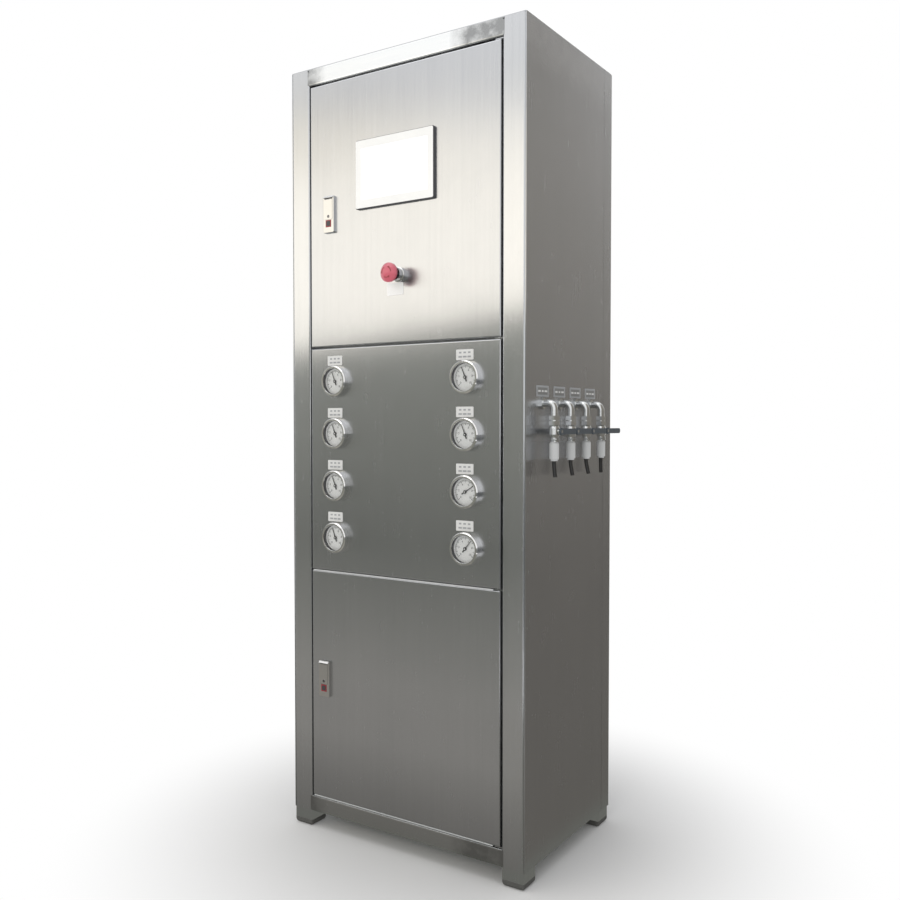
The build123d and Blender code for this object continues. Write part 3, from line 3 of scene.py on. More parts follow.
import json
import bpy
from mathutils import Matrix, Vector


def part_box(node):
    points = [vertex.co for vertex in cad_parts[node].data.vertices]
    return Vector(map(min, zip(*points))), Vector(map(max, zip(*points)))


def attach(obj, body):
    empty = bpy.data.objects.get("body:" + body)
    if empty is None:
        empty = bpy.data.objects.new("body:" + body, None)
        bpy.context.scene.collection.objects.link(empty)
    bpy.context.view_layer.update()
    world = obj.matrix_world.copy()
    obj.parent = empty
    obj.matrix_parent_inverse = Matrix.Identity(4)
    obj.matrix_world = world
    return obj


bl_info = {
    "name": "Laboratory Water Purifier",
    "version": (1, 0, 0),
    "blender": (4, 5, 0),
    "location": "3D View > Sidebar > Purifier",
    "description": "Finishes and small fittings of a stainless laboratory water purifier",
    "category": "Object",
}

from math import cos, pi, radians, sin

import bmesh
import bpy
from bpy.props import FloatProperty, FloatVectorProperty, IntProperty, PointerProperty
from bpy.types import Operator, Panel, PropertyGroup
from mathutils import Matrix, Vector

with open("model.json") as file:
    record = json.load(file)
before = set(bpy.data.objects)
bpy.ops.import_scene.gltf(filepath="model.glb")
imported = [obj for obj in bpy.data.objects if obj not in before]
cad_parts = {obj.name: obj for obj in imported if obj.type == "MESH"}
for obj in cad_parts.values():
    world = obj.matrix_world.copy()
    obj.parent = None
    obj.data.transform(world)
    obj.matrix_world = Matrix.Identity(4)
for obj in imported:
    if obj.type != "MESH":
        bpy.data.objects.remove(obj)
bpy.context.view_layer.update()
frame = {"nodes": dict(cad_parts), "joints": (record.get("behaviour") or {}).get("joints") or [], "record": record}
NODES = frame["nodes"]
SLOTS = {part["node"]: part["material_slot"] for part in frame["record"]["subparts"]}
PIVOTS = {joint["name"]: Vector(joint["pos_m"]) for joint in frame["joints"] if "pos_m" in joint}
GAUGES = [PIVOTS[f"gauge_pointer_{number}_turn"] for number in range(1, 9)]
OUTLETS = [PIVOTS[f"outlet_lever_{number}_turn"] for number in range(1, 5)]
LATCHES = ("upper", "lower")
PANEL_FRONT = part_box("gauge_panel")[0].y
SIDE_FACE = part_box("right_side_panel")[1].x
REAR_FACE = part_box("rear_panel")[1].y

# Facings of a stamped shape: the tilt about X, then the turn about Z.
FACING_FRONT = (pi / 2, 0.0)
FACING_RIGHT = (pi / 2, pi / 2)
FACING_REAR = (pi / 2, pi)
FACING_UP = (0.0, 0.0)
FACING_DOWN = (pi, 0.0)

# Edges sharper than this stay sharp, and corners nearer than the weld are one.
SMOOTH_ANGLE = radians(35)
WELD = 1e-6

# The finishes made so far, by name.
COATS = {}
WHITE = (1.0, 1.0, 1.0)

# Grain of the ground steel: lines a metre along X, Y and Z.
GRAIN_UPRIGHT = (620.0, 620.0, 7.0)
GRAIN_LEVEL = (7.0, 7.0, 620.0)

# Windings of the glass-fibre tubes, on the same axes.
WINDING = (30.0, 30.0, 320.0)

# Heights between which steel with a darker foot turns dark; the darker foot is painted shade.
SHADED_FOOT_SPAN = (1.0, 0.5)


def length(name, description, default):
    """A size in metres that a user may change."""
    return FloatProperty(name=name, description=description, default=default, unit="LENGTH", precision=5)


def angle(name, description, degrees):
    """An angle that a user may change."""
    return FloatProperty(name=name, description=description, default=radians(degrees), subtype="ANGLE")


def tint(name, description, default):
    """A colour that a user may change."""
    return FloatVectorProperty(
        name=name, description=description, default=default, subtype="COLOR", size=3, min=0.0, max=1.0
    )


class PurifierSizes(PropertyGroup):
    """Sizes of the small fittings."""

    tick_radius: length("Tick radius", "Distance of the dial marks from the spindle", 0.0235)
    tick_length: length("Tick length", "Length of a long dial mark", 0.0046)
    tick_width: length("Tick width", "Width of a long dial mark", 0.0008)
    tick_rise: length("Tick rise", "Thickness of the dial print", 0.00016)
    dial_sweep: angle("Dial sweep", "Angle from the first mark to the last", 270.0)
    number_height: length("Number height", "Height of the dial numbers", 0.0062)
    number_radius: length("Number radius", "Distance of the dial numbers from the spindle", 0.0158)
    # The dark ring over a dial is a seal that also paints the shade inside the bezel.
    shade_seal_radius: length("Liner radius", "Middle radius of the dark ring over a dial", 0.0287)
    shade_seal_width: length("Liner width", "Thickness of the dark ring", 0.0015)
    shade_seal_rise: length("Liner rise", "Depth of the dark ring", 0.0063)
    screen_edge: length("Screen edge", "Width of the bevel round the screen's front", 0.0015)
    screen_rise: length("Screen front rise", "Thickness of the screen's white front", 0.0004)
    arrow_radius: length("Arrow radius", "Distance of the turning arrows from their centre", 0.011)
    arrow_width: length("Arrow width", "Width of a turning arrow's line", 0.0018)
    arrow_rise: length("Arrow rise", "Height of a turning arrow", 0.0011)
    arrow_sweep: angle("Arrow sweep", "Angle that a turning arrow covers", 62.0)
    label_width: length("Gauge label width", "Width of the plate above a gauge", 0.041)
    label_height: length("Gauge label height", "Height of the plate above a gauge", 0.021)
    label_rise: length("Label rise", "Thickness of the small plates", 0.0006)
    label_lift: length("Gauge label lift", "Height of the plate's centre above the gauge", 0.0455)
    label_shift: length("Gauge label shift", "Distance of the plate's centre left of the gauge", 0.004)
    stop_label_width: length("Stop label width", "Width of the plate under the stop button", 0.042)
    stop_label_height: length("Stop label height", "Height of the plate under the stop button", 0.026)
    outlet_label_width: length("Outlet label width", "Width of the plate beside an outlet", 0.052)
    outlet_label_height: length("Outlet label height", "Height of the plate beside an outlet", 0.022)
    screw_radius: length("Screw radius", "Radius of a panel screw's head", 0.0042)
    screw_rise: length("Screw rise", "Height of a panel screw's head", 0.0022)
    key_radius: length("Key radius", "Radius of the lock cylinder in a latch", 0.0034)
    inlay_side: length("Button inlay", "Side of the dark inlay in a latch button", 0.0105)
    brow_height: length("Brow height", "Height of the bright brow on a latch", 0.0054)
    brow_lean: angle("Brow lean", "Angle by which the brow's face looks up", 41.0)
    weld_side: length("Weld side", "Side of the dressed welds between the rails and the posts", 0.004)
    # The pale strips on the lower door's edges are a painted highlight.
    highlight_strip_rise: length("Edging rise", "Height of the pale strips on the lower door's edges", 0.0026)
    thread_radius: length("Thread radius", "Radius of the outlet's thread", 0.0071)
    thread_pitch: length("Thread pitch", "Pitch of the outlet's thread", 0.0014)
    terminal_radius: length("Terminal radius", "Radius of a terminal screw", 0.0027)
    terminal_pitch: length("Terminal pitch", "Distance between terminal screws", 0.0105)
    finger_width: length("Finger width", "Width of a finger of a cable duct", 0.0075)
    finger_pitch: length("Finger pitch", "Distance between fingers of a cable duct", 0.0115)
    rib_width: length("Bowl rib width", "Width of a rib of a filter bowl", 0.0045)
    rib_proud: length("Bowl rib height", "Height of a rib of a filter bowl", 0.0018)
    rod_radius: length("Tie rod radius", "Radius of a tie rod of the pump", 0.0034)
    long_ticks: IntProperty(name="Long ticks", description="Number of long marks on a dial", default=11)
    short_ticks: IntProperty(name="Short ticks", description="Number of short marks on a dial", default=51)


class PurifierColours(PropertyGroup):
    """Colours of the finishes."""

    sheet: tint("Sheet steel", "Brushed stainless sheet", (0.555, 0.566, 0.588))
    tube: tint("Frame steel", "Brushed stainless tube of the frame", (0.6, 0.612, 0.632))
    chrome: tint("Chrome", "Polished chrome of the bezels", (0.86, 0.86, 0.86))
    latch: tint("Latch steel", "Satin chrome of the latches and the stop button's neck", (0.6, 0.6, 0.6))
    key: tint("Key steel", "Dull steel of the lock cylinders", (0.2, 0.2, 0.21))
    nickel: tint("Nickel", "Nickel plate of the outlets", (0.73, 0.75, 0.76))
    foot: tint("Foot rubber", "Moulded rubber of the feet", (0.09, 0.09, 0.085))
    # This black also paints the screen's vents, a painted shade of their slots.
    gasket: tint("Gasket rubber", "Foamed rubber of the door seals", (0.03, 0.03, 0.03))
    red: tint("Stop red", "Glossy plastic of the stop button", (0.62, 0.115, 0.16))
    button: tint("Button red", "Dark plastic of the latch buttons", (0.3, 0.02, 0.03))
    white: tint("White plastic", "Front of the screen and plain plates", (0.9, 0.9, 0.885))
    light: tint("Light grey plastic", "Cases of the control modules", (0.7, 0.7, 0.69))
    # This black also paints the shade in the gauge bezels' recesses and in the modules' wire entries.
    dark: tint("Dark plastic", "Black moulded parts", (0.05, 0.05, 0.055))
    lever: tint("Lever sleeve", "Dark blue-grey sleeves of the levers", (0.06, 0.075, 0.09))
    screen: tint("Screen", "Glow of the lit screen", (0.9, 0.92, 0.93))
    glass: tint("Glass", "Sheen of the gauge windows", (0.9, 0.92, 0.92))
    dial: tint("Dial", "White enamel of the dials", (0.8, 0.805, 0.795))
    ink: tint("Ink", "Print and pointers", (0.02, 0.02, 0.02))
    field: tint("Field grey", "Darker fields of the outlet plates", (0.2, 0.2, 0.195))
    lamp: tint("Lamp green", "Signal lamps of the modules", (0.03, 0.3, 0.07))
    stroke: tint("Stroke grey", "Plain strokes on the small plates", (0.34, 0.35, 0.36))
    tube_black: tint("Tube black", "Black tube of the outlets", (0.02, 0.02, 0.02))
    plate: tint("Plate enamel", "Light enamel of the mounting plate", (0.74, 0.74, 0.72))
    # This grey also colours the pale strips on the lower door, a painted highlight.
    duct: tint("Mid grey plastic", "Cable ducts, connectors and edging", (0.55, 0.56, 0.56))
    bowl: tint("Bowl blue", "Filter bowls", (0.03, 0.12, 0.4))
    vessel: tint("Vessel white", "Glass-fibre pressure tubes", (0.82, 0.83, 0.83))
    pump: tint("Pump paint", "Enamel of the pump", (0.1, 0.12, 0.14))
    pipe: tint("Pipe white", "Plastic pipework", (0.78, 0.78, 0.76))
    floor: tint("Floor", "Pale studio floor", (0.85, 0.85, 0.85))
    front_card: tint("Front card", "Tint of the card that the front reflects", (0.99, 1.0, 0.88))
    front_foot: tint("Front card foot", "Tint of that card near the floor", (1.0, 0.955, 0.87))
    side_card: tint("Side card", "Tint of the card that the side reflects", (1.0, 0.93, 0.82))
    corner_card: tint("Corner card", "Tint of the card that bright metal reflects", (0.97, 1.0, 1.0))


class PurifierStudio(PropertyGroup):
    """Camera and light."""

    eye_x: length("Eye X", "Camera position", 1.1458)
    eye_y: length("Eye Y", "Camera position", -1.7711)
    eye_z: length("Eye Z", "Camera position", 0.9157)
    heading: angle("Heading", "Direction of view, left of straight back", 33.36)
    pitch: angle("Pitch", "Direction of view, below level", 1.65)
    lens: FloatProperty(name="Lens", description="Focal length", default=37.45, unit="CAMERA")
    ambient: FloatProperty(name="Ambient", description="Light of the room on matt surfaces", default=0.55)


class Wire:
    """A socket that takes part in sums as a number does."""

    def __init__(self, nodes, socket):
        self.nodes = nodes
        self.socket = socket

    def join(self, operation, first, second):
        return self.nodes.node("ShaderNodeMath", {0: first, 1: second}, operation=operation)

    def __add__(self, other):
        return self.join("ADD", self, other)

    __radd__ = __add__

    def __sub__(self, other):
        return self.join("SUBTRACT", self, other)

    def __rsub__(self, other):
        return self.join("SUBTRACT", other, self)

    def __mul__(self, other):
        return self.join("MULTIPLY", self, other)

    __rmul__ = __mul__

    def __truediv__(self, other):
        return self.join("DIVIDE", self, other)

    def __gt__(self, other):
        return self.join("GREATER_THAN", self, other)


class Nodes:
    """A node tree under construction."""

    def __init__(self, tree):
        self.tree = tree

    def node(self, kind, sockets, output=0, **settings):
        """Adds a node, sets it, then fills or links its sockets; a list links several to one."""
        made = self.tree.nodes.new(kind)
        for key, value in settings.items():
            setattr(made, key, value)
        for key, value in sockets.items():
            for item in value if isinstance(value, list) else [value]:
                if isinstance(item, Wire):
                    self.tree.links.new(item.socket, made.inputs[key])
                else:
                    made.inputs[key].default_value = item
        return Wire(self, made.outputs[output]) if len(made.outputs) else None


class Finish(Nodes):
    """A material under construction."""

    def __init__(self, name):
        self.material = COATS[name] = bpy.data.materials.new(name)
        self.material.use_nodes = True
        super().__init__(self.material.node_tree)
        self.tree.nodes.clear()
        self.place = self.node("ShaderNodeTexCoord", {}, "Object")

    def along(self, axis):
        return self.node("ShaderNodeSeparateXYZ", {0: self.place}, axis)

    def stretched(self, scale):
        return self.node("ShaderNodeMapping", {"Vector": self.place, "Scale": scale})

    def noise(self, scale, detail=2.0, rough=0.5, place=None):
        sockets = {"Vector": place or self.place, "Scale": scale, "Detail": detail, "Roughness": rough}
        return self.node("ShaderNodeTexNoise", sockets)

    def rise(self, value, first, last, height=1.0, **settings):
        """A value that rises from 0 to a height while another goes from first to last."""
        sockets = {"Value": value, "From Min": first, "From Max": last, "To Max": height}
        return self.node("ShaderNodeMapRange", sockets, **settings)

    def blend(self, factor, first, second):
        sockets = {0: factor, 6: first, 7: second}
        return self.node("ShaderNodeMix", sockets, 2, data_type="RGBA", clamp_factor=True)

    def bump(self, height, strength, distance):
        return self.node("ShaderNodeBump", {"Height": height, "Strength": strength, "Distance": distance})

    def principled(self, **sockets):
        """A principled shader; names are the sockets' own, with _ for a space."""
        named = {key.replace("_", " "): value for key, value in sockets.items()}
        return self.node("ShaderNodeBsdfPrincipled", named, "BSDF")

    def close(self, shader):
        self.node("ShaderNodeOutputMaterial", {"Surface": shader})

    def surface(self, **sockets):
        """Closes the material with one principled shader."""
        self.close(self.principled(**sockets))


def shade(colour, red, green=None, blue=None):
    """A colour made lighter or darker, evenly or by channel."""
    scales = (red, red if green is None else green, red if blue is None else blue)
    return (*(min(part * scale, 1.0) for part, scale in zip(colour, scales)), 1.0)


def near_ends(made, axis, *spans):
    """A mask that rises from 0 to 1 over each span along an axis."""
    along = made.along(axis)
    ends = [made.rise(along, inner, edge) for inner, edge in spans]
    return sum(ends[1:], ends[0])


def brushed_steel(name, colour, grain, patch_spans=None, patch_tone=1.0, foot=None):
    """Satin stainless steel, ground in one direction; mottled patches over given spans may lighten or darken it,
    and its foot may be darker as painted shade.
    """
    made = Finish(name)
    hair = made.noise(1.0, 2.0, 0.6, made.stretched(grain))
    band = made.noise(0.13, 3.0, 0.5, made.stretched(grain))
    cloud = made.noise(4.5, 3.0)
    hand = made.noise(21.0, 5.0, 0.68)
    tone = hair * 0.35 + band * 0.25 + cloud * 0.4
    coat = made.blend(tone, shade(colour, 0.86, 0.87, 0.87), shade(colour, 1.12, 1.11, 1.11))
    # A darker foot is painted shade.
    if foot:
        low = made.blend(tone, shade(colour, 0.86 * foot), shade(colour, 1.12 * foot))
        coat = made.blend(near_ends(made, "Z", SHADED_FOOT_SPAN), coat, low)
    # Mottled patches over the given spans: on the side panels a lighter band at the top, a painted highlight; on
    # the rails darker patches at the ends.
    if patch_spans:
        mottle = made.noise(34.0, 4.0, 0.6)
        mask = near_ends(made, *patch_spans) * (mottle * 2.4 - 0.3)
        coat = made.blend(mask, coat, shade(colour, patch_tone))
    made.surface(
        Base_Color=coat,
        Metallic=1.0,
        Roughness=hair * 0.06 + hand * 0.07 + 0.19,
        Anisotropic=0.7,
        Normal=made.bump(hair, 0.03, 0.0002),
    )


def plated(name, colour, rough):
    """Bright plated metal with faint handling marks."""
    made = Finish(name)
    smear = made.noise(55.0, 4.0, 0.65)
    ripple = made.noise(260.0, 2.0)
    made.surface(
        Base_Color=made.blend(smear, shade(colour, 0.94), shade(colour, 1.05, 1.04, 1.02)),
        Metallic=1.0,
        Roughness=smear * 0.1 + rough,
        Normal=made.bump(ripple, 0.03, 0.0003),
    )


def moulded(name, colour, rough, grain, gloss, shaded_end=None):
    """Moulded plastic with a fine skin; it may darken towards one end, a painted shade."""
    made = Finish(name)
    cloud = made.noise(17.0, 3.0)
    skin = made.noise(grain, 2.0, 0.6)
    coat = made.blend(cloud, shade(colour, 0.93), shade(colour, 1.06))
    # A darker end is painted shade.
    if shaded_end:
        coat = made.blend(near_ends(made, *shaded_end), coat, shade(colour, 0.3, 0.35, 0.35))
    made.surface(
        Base_Color=coat,
        Roughness=cloud * 0.12 + (rough - 0.06),
        Coat_Weight=gloss,
        Coat_Roughness=0.12,
        Normal=made.bump(skin, 0.12, 0.0001),
    )


def rubber(name, colour):
    """Matt rubber with pale dust in its pores."""
    made = Finish(name)
    pores = made.noise(900.0, 3.0, 0.7)
    dust = made.noise(38.0, 4.0, 0.7)
    made.surface(
        Base_Color=made.blend(dust * 0.6 + pores * 0.25, shade(colour, 0.8), shade(colour, 1.7)),
        Roughness=pores * 0.2 + 0.6,
        Normal=made.bump(pores, 0.25, 0.0002),
    )


def enamel(name, colour, rough):
    """Sprayed enamel with a slight orange peel."""
    made = Finish(name)
    peel = made.noise(420.0, 2.0)
    cloud = made.noise(9.0, 3.0)
    made.surface(
        Base_Color=made.blend(cloud, shade(colour, 0.95), shade(colour, 1.04)),
        Roughness=cloud * 0.14 + (rough - 0.07),
        Coat_Weight=0.25,
        Coat_Roughness=0.2,
        Normal=made.bump(peel, 0.08, 0.0002),
    )


def window(name, colour):
    """Clear window: see-through face on, glossy at a slant."""
    made = Finish(name)
    gleam = made.node("ShaderNodeLayerWeight", {"Blend": 0.18}, "Fresnel")
    wipe = made.noise(60.0, 3.0)
    clear = made.node("ShaderNodeBsdfTransparent", {}, "BSDF")
    glossy = made.principled(Base_Color=shade(colour, 1.0), Roughness=wipe * 0.06 + 0.02, Metallic=0.6)
    made.close(made.node("ShaderNodeMixShader", {0: gleam * 0.7 + 0.03, 1: clear, 2: glossy}))


def lit_screen(name, colour):
    """Blank lit screen under a glossy pane."""
    made = Finish(name)
    cloud = made.noise(6.0, 2.0)
    glow = made.blend(cloud, shade(colour, 0.93), shade(colour, 1.05))
    made.surface(
        Base_Color=glow,
        Roughness=cloud * 0.08 + 0.1,
        Emission_Color=glow,
        Emission_Strength=0.35,
        Coat_Weight=0.4,
        Coat_Roughness=0.05,
    )


def wound_fibre(name, colour):
    """Glass-fibre tube: windings under clear resin."""
    made = Finish(name)
    winding = made.noise(1.0, 1.0, 0.5, made.stretched(WINDING))
    weave = made.noise(120.0, 3.0)
    tone = winding * 0.6 + weave * 0.4
    made.surface(
        Base_Color=made.blend(tone, shade(colour, 0.86, 0.88, 0.88), shade(colour, 1.06)),
        Roughness=tone * 0.15 + 0.22,
        Coat_Weight=0.5,
        Coat_Roughness=0.15,
        Normal=made.bump(winding, 0.1, 0.0004),
    )


# Each plain finish: its maker, name and tint, then the grain of steel, the roughness of plate and enamel,
# or the roughness, the skin's grain and the clear coat of plastic.
FINISHES = (
    (brushed_steel, "brushed_steel", "sheet", GRAIN_UPRIGHT),
    (brushed_steel, "frame_steel", "tube", GRAIN_UPRIGHT),
    (plated, "polished_chrome", "chrome", 0.06),
    (plated, "nickel_brass", "nickel", 0.13),
    (plated, "key_steel", "key", 0.3),
    (plated, "latch_steel", "latch", 0.1),
    (rubber, "foot_rubber", "foot"),
    (rubber, "gasket_rubber", "gasket"),
    (moulded, "button_red", "button", 0.35, 800.0, 0.3),
    (moulded, "white_plastic", "white", 0.32, 900.0, 0.3),
    (moulded, "light_grey_plastic", "light", 0.5, 650.0, 0.0),
    (moulded, "dark_plastic", "dark", 0.45, 700.0, 0.1),
    (moulded, "lever_plastic", "lever", 0.42, 600.0, 0.2),
    (moulded, "tube_black", "tube_black", 0.38, 500.0, 0.2),
    (moulded, "duct_grey", "duct", 0.5, 550.0, 0.0),
    (moulded, "bowl_blue", "bowl", 0.25, 500.0, 0.5),
    (moulded, "pipe_white", "pipe", 0.4, 500.0, 0.15),
    (moulded, "stroke_grey", "stroke", 0.6, 900.0, 0.0),
    (moulded, "field_grey", "field", 0.55, 900.0, 0.0),
    (moulded, "lamp_green", "lamp", 0.2, 900.0, 0.6),
    (enamel, "dial_white", "dial", 0.4),
    (enamel, "pointer_black", "ink", 0.35),
    (enamel, "dial_ink", "ink", 0.6),
    (enamel, "zinc_plate", "plate", 0.45),
    (enamel, "pump_paint", "pump", 0.4),
    (wound_fibre, "vessel_white", "vessel"),
    (lit_screen, "screen_glass", "screen"),
    (window, "clear_glass", "glass"),
)

# Nodes that take another finish than their slot's plain one. The rails' steel carries a painted highlight and a
# painted shade at its foot, the side panels' steel a painted highlight at the top, and the stop button's red a
# painted shade at its back.
OWN_FINISH = {
    "frame_rails": "rail_steel",
    "left_side_panel": "side_steel",
    "right_side_panel": "side_steel",
    "screen_housing": "dark_plastic",
    "estop_collar": "latch_steel",
    "estop_head": "stop_red",
    "outlet_connectors": "duct_grey",
    **{f"{name}_latch_{piece}": "latch_steel" for name in LATCHES for piece in ("housing", "paddle")},
}


class PURIFIER_OT_finishes(Operator):
    """Makes every finish and gives each solid of the cabinet its own"""

    bl_idname = "purifier.finishes"
    bl_label = "Finishes"

    post_side = 0.05
    # The rails' steel is made lighter, a painted highlight that whitens the top rail, and darker at its foot, a
    # painted shade over the bottom rails.
    rail_highlight = 1.62
    rail_foot_shade = 0.56
    rail_end_tone = 0.34
    side_top_highlight = 1.12
    stop_plastic = (0.3, 700.0, 0.5)

    # Distances from an end at which a patch begins and is full: the rails' darker ends, the side panels' painted
    # highlight at the top and the stop button's painted shade at the back.
    rail_left = (0.05, 0.0)
    rail_right = (0.125, 0.08)
    side_top = (0.1, 0.03)
    stop_back = (0.007, 0.003)

    def execute(self, context):
        tints = context.scene.purifier_colours
        for make, name, colour, *values in FINISHES:
            make(name, getattr(tints, colour), *values)
        low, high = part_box("frame_rails")
        left = [low.x + self.post_side + far for far in self.rail_left]
        right = [high.x - self.post_side - far for far in self.rail_right]
        ends = ("X", left, right)
        # Lighter rail steel with a darker foot: painted highlight above, painted shade below.
        bright = shade(tints.tube, self.rail_highlight)[:3]
        brushed_steel("rail_steel", bright, GRAIN_LEVEL, ends, self.rail_end_tone, self.rail_foot_shade)
        # The side panels' steel is lighter and mottled at the top: a painted highlight.
        top = [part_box("right_side_panel")[1].z - far for far in self.side_top]
        brushed_steel("side_steel", tints.sheet, GRAIN_UPRIGHT, ("Z", top), self.side_top_highlight)
        # The stop button's red darkens at the back of its head: painted shade.
        back = [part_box("estop_head")[1].y - far for far in self.stop_back]
        moulded("stop_red", tints.red, *self.stop_plastic, ("Y", back))
        for node, slot in SLOTS.items():
            for place in NODES[node].material_slots:
                place.material = COATS[OWN_FINISH.get(node, slot)]
        return {"FINISHED"}


class Grower(Nodes):
    """A geometry node tree that stamps one shape on every point of a mesh."""

    def __init__(self, name, sizes):
        super().__init__(bpy.data.node_groups.new(name, "GeometryNodeTree"))
        face = self.tree.interface
        face.new_socket("Geometry", in_out="OUTPUT", socket_type="NodeSocketGeometry")
        kinds = {key: "Int" if isinstance(size, int) else "Float" for key, size in sizes.items()}
        kinds = {"places": "Geometry", **kinds, "finish": "Material"}
        labels = {key: key.replace("_", " ").capitalize() for key in kinds}
        self.identifiers = {
            key: face.new_socket(labels[key], in_out="INPUT", socket_type=f"NodeSocket{kind}").identifier
            for key, kind in kinds.items()
        }
        inlet = self.tree.nodes.new("NodeGroupInput")
        self.given = {key: Wire(self, inlet.outputs[label]) for key, label in labels.items()}

    def vector(self, x=0.0, y=0.0, z=0.0):
        return self.node("ShaderNodeCombineXYZ", {"X": x, "Y": y, "Z": z})

    def turned(self, x=0.0, y=0.0, z=0.0):
        return self.node("FunctionNodeEulerToRotation", {"Euler": self.vector(x, y, z)})

    def curve(self, function, value):
        return self.node("ShaderNodeMath", {0: value}, operation=function)

    def chance(self, least, most, seed):
        """A random value for each point."""
        sockets = {2: least, 3: most, "Seed": seed}
        return self.node("FunctionNodeRandomValue", sockets, 1, data_type="FLOAT")

    def block(self, x, y, z, lift=0.0):
        """A block on the drawing plane, or raised above it."""
        made = self.node("GeometryNodeMeshCube", {"Size": self.vector(x, y, z)})
        return self.moved(made, z=z * 0.5 + lift)

    def moved(self, shape, x=0.0, y=0.0, z=0.0):
        return self.node("GeometryNodeTransform", {"Geometry": shape, "Translation": self.vector(x, y, z)})

    def spun(self, shape, x=0.0, y=0.0, z=0.0):
        return self.node("GeometryNodeTransform", {"Geometry": shape, "Rotation": self.turned(x, y, z)})

    def joined(self, *shapes):
        return self.node("GeometryNodeJoinGeometry", {"Geometry": list(reversed(shapes))})

    def cut(self, shape, tool):
        sockets = {0: shape, 1: tool}
        return self.node("GeometryNodeMeshBoolean", sockets, operation="DIFFERENCE", solver="EXACT")

    def rectangle(self, width, height):
        return self.node("GeometryNodeCurvePrimitiveQuadrilateral", {"Width": width, "Height": height})

    def circle(self, radius, sides):
        return self.node("GeometryNodeCurvePrimitiveCircle", {"Resolution": sides, "Radius": radius})

    def swept(self, path, profile, caps=True):
        sockets = {"Curve": path, "Profile Curve": profile, "Fill Caps": caps}
        return self.node("GeometryNodeCurveToMesh", sockets)

    def plate(self, width, height, rise, corner, points=5):
        """A plate with round corners."""
        sockets = {"Curve": self.rectangle(width, height), "Count": points, "Radius": corner}
        rounded = self.node("GeometryNodeFilletCurve", sockets, mode="POLY")
        sheet = self.node("GeometryNodeFillCurve", {"Curve": rounded}, mode="NGONS")
        sockets = {"Mesh": sheet, "Offset Scale": rise, "Individual": False}
        raised = self.node("GeometryNodeExtrudeMesh", sockets, mode="FACES")
        both = self.joined(raised, self.node("GeometryNodeFlipFaces", {"Mesh": sheet}))
        return self.node("GeometryNodeMergeByDistance", {"Geometry": both, "Distance": WELD})

    def round(self, radius, rise, sides, crown):
        """A frustum that stands on the drawing plane; its crown is a share of its radius."""
        sockets = {"Vertices": sides, "Radius Top": radius * crown, "Radius Bottom": radius, "Depth": rise}
        return self.node("GeometryNodeMeshCone", sockets)

    def prism(self, sides, radius, rise):
        """An upright prism on the drawing plane, with a corner to the right."""
        sockets = {"Vertices": sides, "Radius": radius, "Depth": rise}
        return self.moved(self.node("GeometryNodeMeshCylinder", sockets), z=rise * 0.5)

    def bar(self, path, width, rise, caps=True):
        """A bar of square section along a path on the drawing plane."""
        return self.moved(self.swept(path, self.rectangle(width, rise), caps), z=rise * 0.5)

    def arc(self, radius, start, sweep, points):
        sockets = {"Resolution": points, "Radius": radius, "Start Angle": start, "Sweep Angle": sweep}
        return self.node("GeometryNodeCurveArc", sockets, mode="RADIUS")

    def copies(self, count, shape, place=None, **turn):
        """Copies of a shape, each turned and perhaps placed by its number."""
        points = self.node("GeometryNodeMeshLine", {"Count": count, "Offset": (0.0, 0.0, 0.0)})
        if place is not None:
            points = self.node("GeometryNodeSetPosition", {"Geometry": points, "Position": place})
        return self.on_points(points, shape, Rotation=self.turned(**turn))

    def on_points(self, points, shape, **sockets):
        return self.node("GeometryNodeInstanceOnPoints", {"Points": points, "Instance": shape, **sockets})

    def around(self, count, shape):
        """Copies of a shape, turned evenly about the drawing plane's centre."""
        index = self.node("GeometryNodeInputIndex", {})
        return self.copies(count, shape, z=index * (2 * pi) / count)

    def along(self, count, sweep, radius, shape):
        """Copies of a shape on an arc over the top of the drawing plane's centre."""
        index = self.node("GeometryNodeInputIndex", {})
        bearing = (index / (count - 1) - 0.5) * sweep
        place = self.vector(self.curve("SINE", bearing) * radius, self.curve("COSINE", bearing) * radius)
        return self.copies(count, shape, place, z=0 - bearing)

    def stamp(self, shape, spin=None):
        """Ends the tree: the shape on every place, perhaps turned at random, made real and coated."""
        tilt, turn = (
            self.node("GeometryNodeInputNamedAttribute", {"Name": label}, data_type="FLOAT")
            for label in ("tilt", "turn")
        )
        stamped = self.on_points(self.given["places"], shape, Rotation=self.turned(tilt, 0.0, turn))
        if spin is not None:
            sockets = {"Instances": stamped, "Rotation": self.turned(z=self.chance(0.0, spin, seed=7))}
            stamped = self.node("GeometryNodeRotateInstances", sockets)
        real = self.node("GeometryNodeRealizeInstances", {"Geometry": stamped})
        sockets = {"Geometry": real, "Material": self.given["finish"]}
        self.node("NodeGroupOutput", {"Geometry": self.node("GeometryNodeSetMaterial", sockets)})


def settle(name, mesh, body):
    """Makes a mesh a finished piece that moves with a body."""
    mesh.name = name
    mesh.shade_smooth()
    mesh.set_sharp_from_angle(angle=SMOOTH_ANGLE)
    piece = bpy.data.objects.new(name, mesh)
    bpy.context.collection.objects.link(piece)
    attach(piece, body)


def real_mesh(holder):
    """The plain mesh of a holder's evaluated shape; the holder goes."""
    bpy.context.collection.objects.link(holder)
    depsgraph = bpy.context.evaluated_depsgraph_get()
    mesh = bpy.data.meshes.new_from_object(holder.evaluated_get(depsgraph), depsgraph=depsgraph)
    bpy.data.objects.remove(holder)
    return mesh


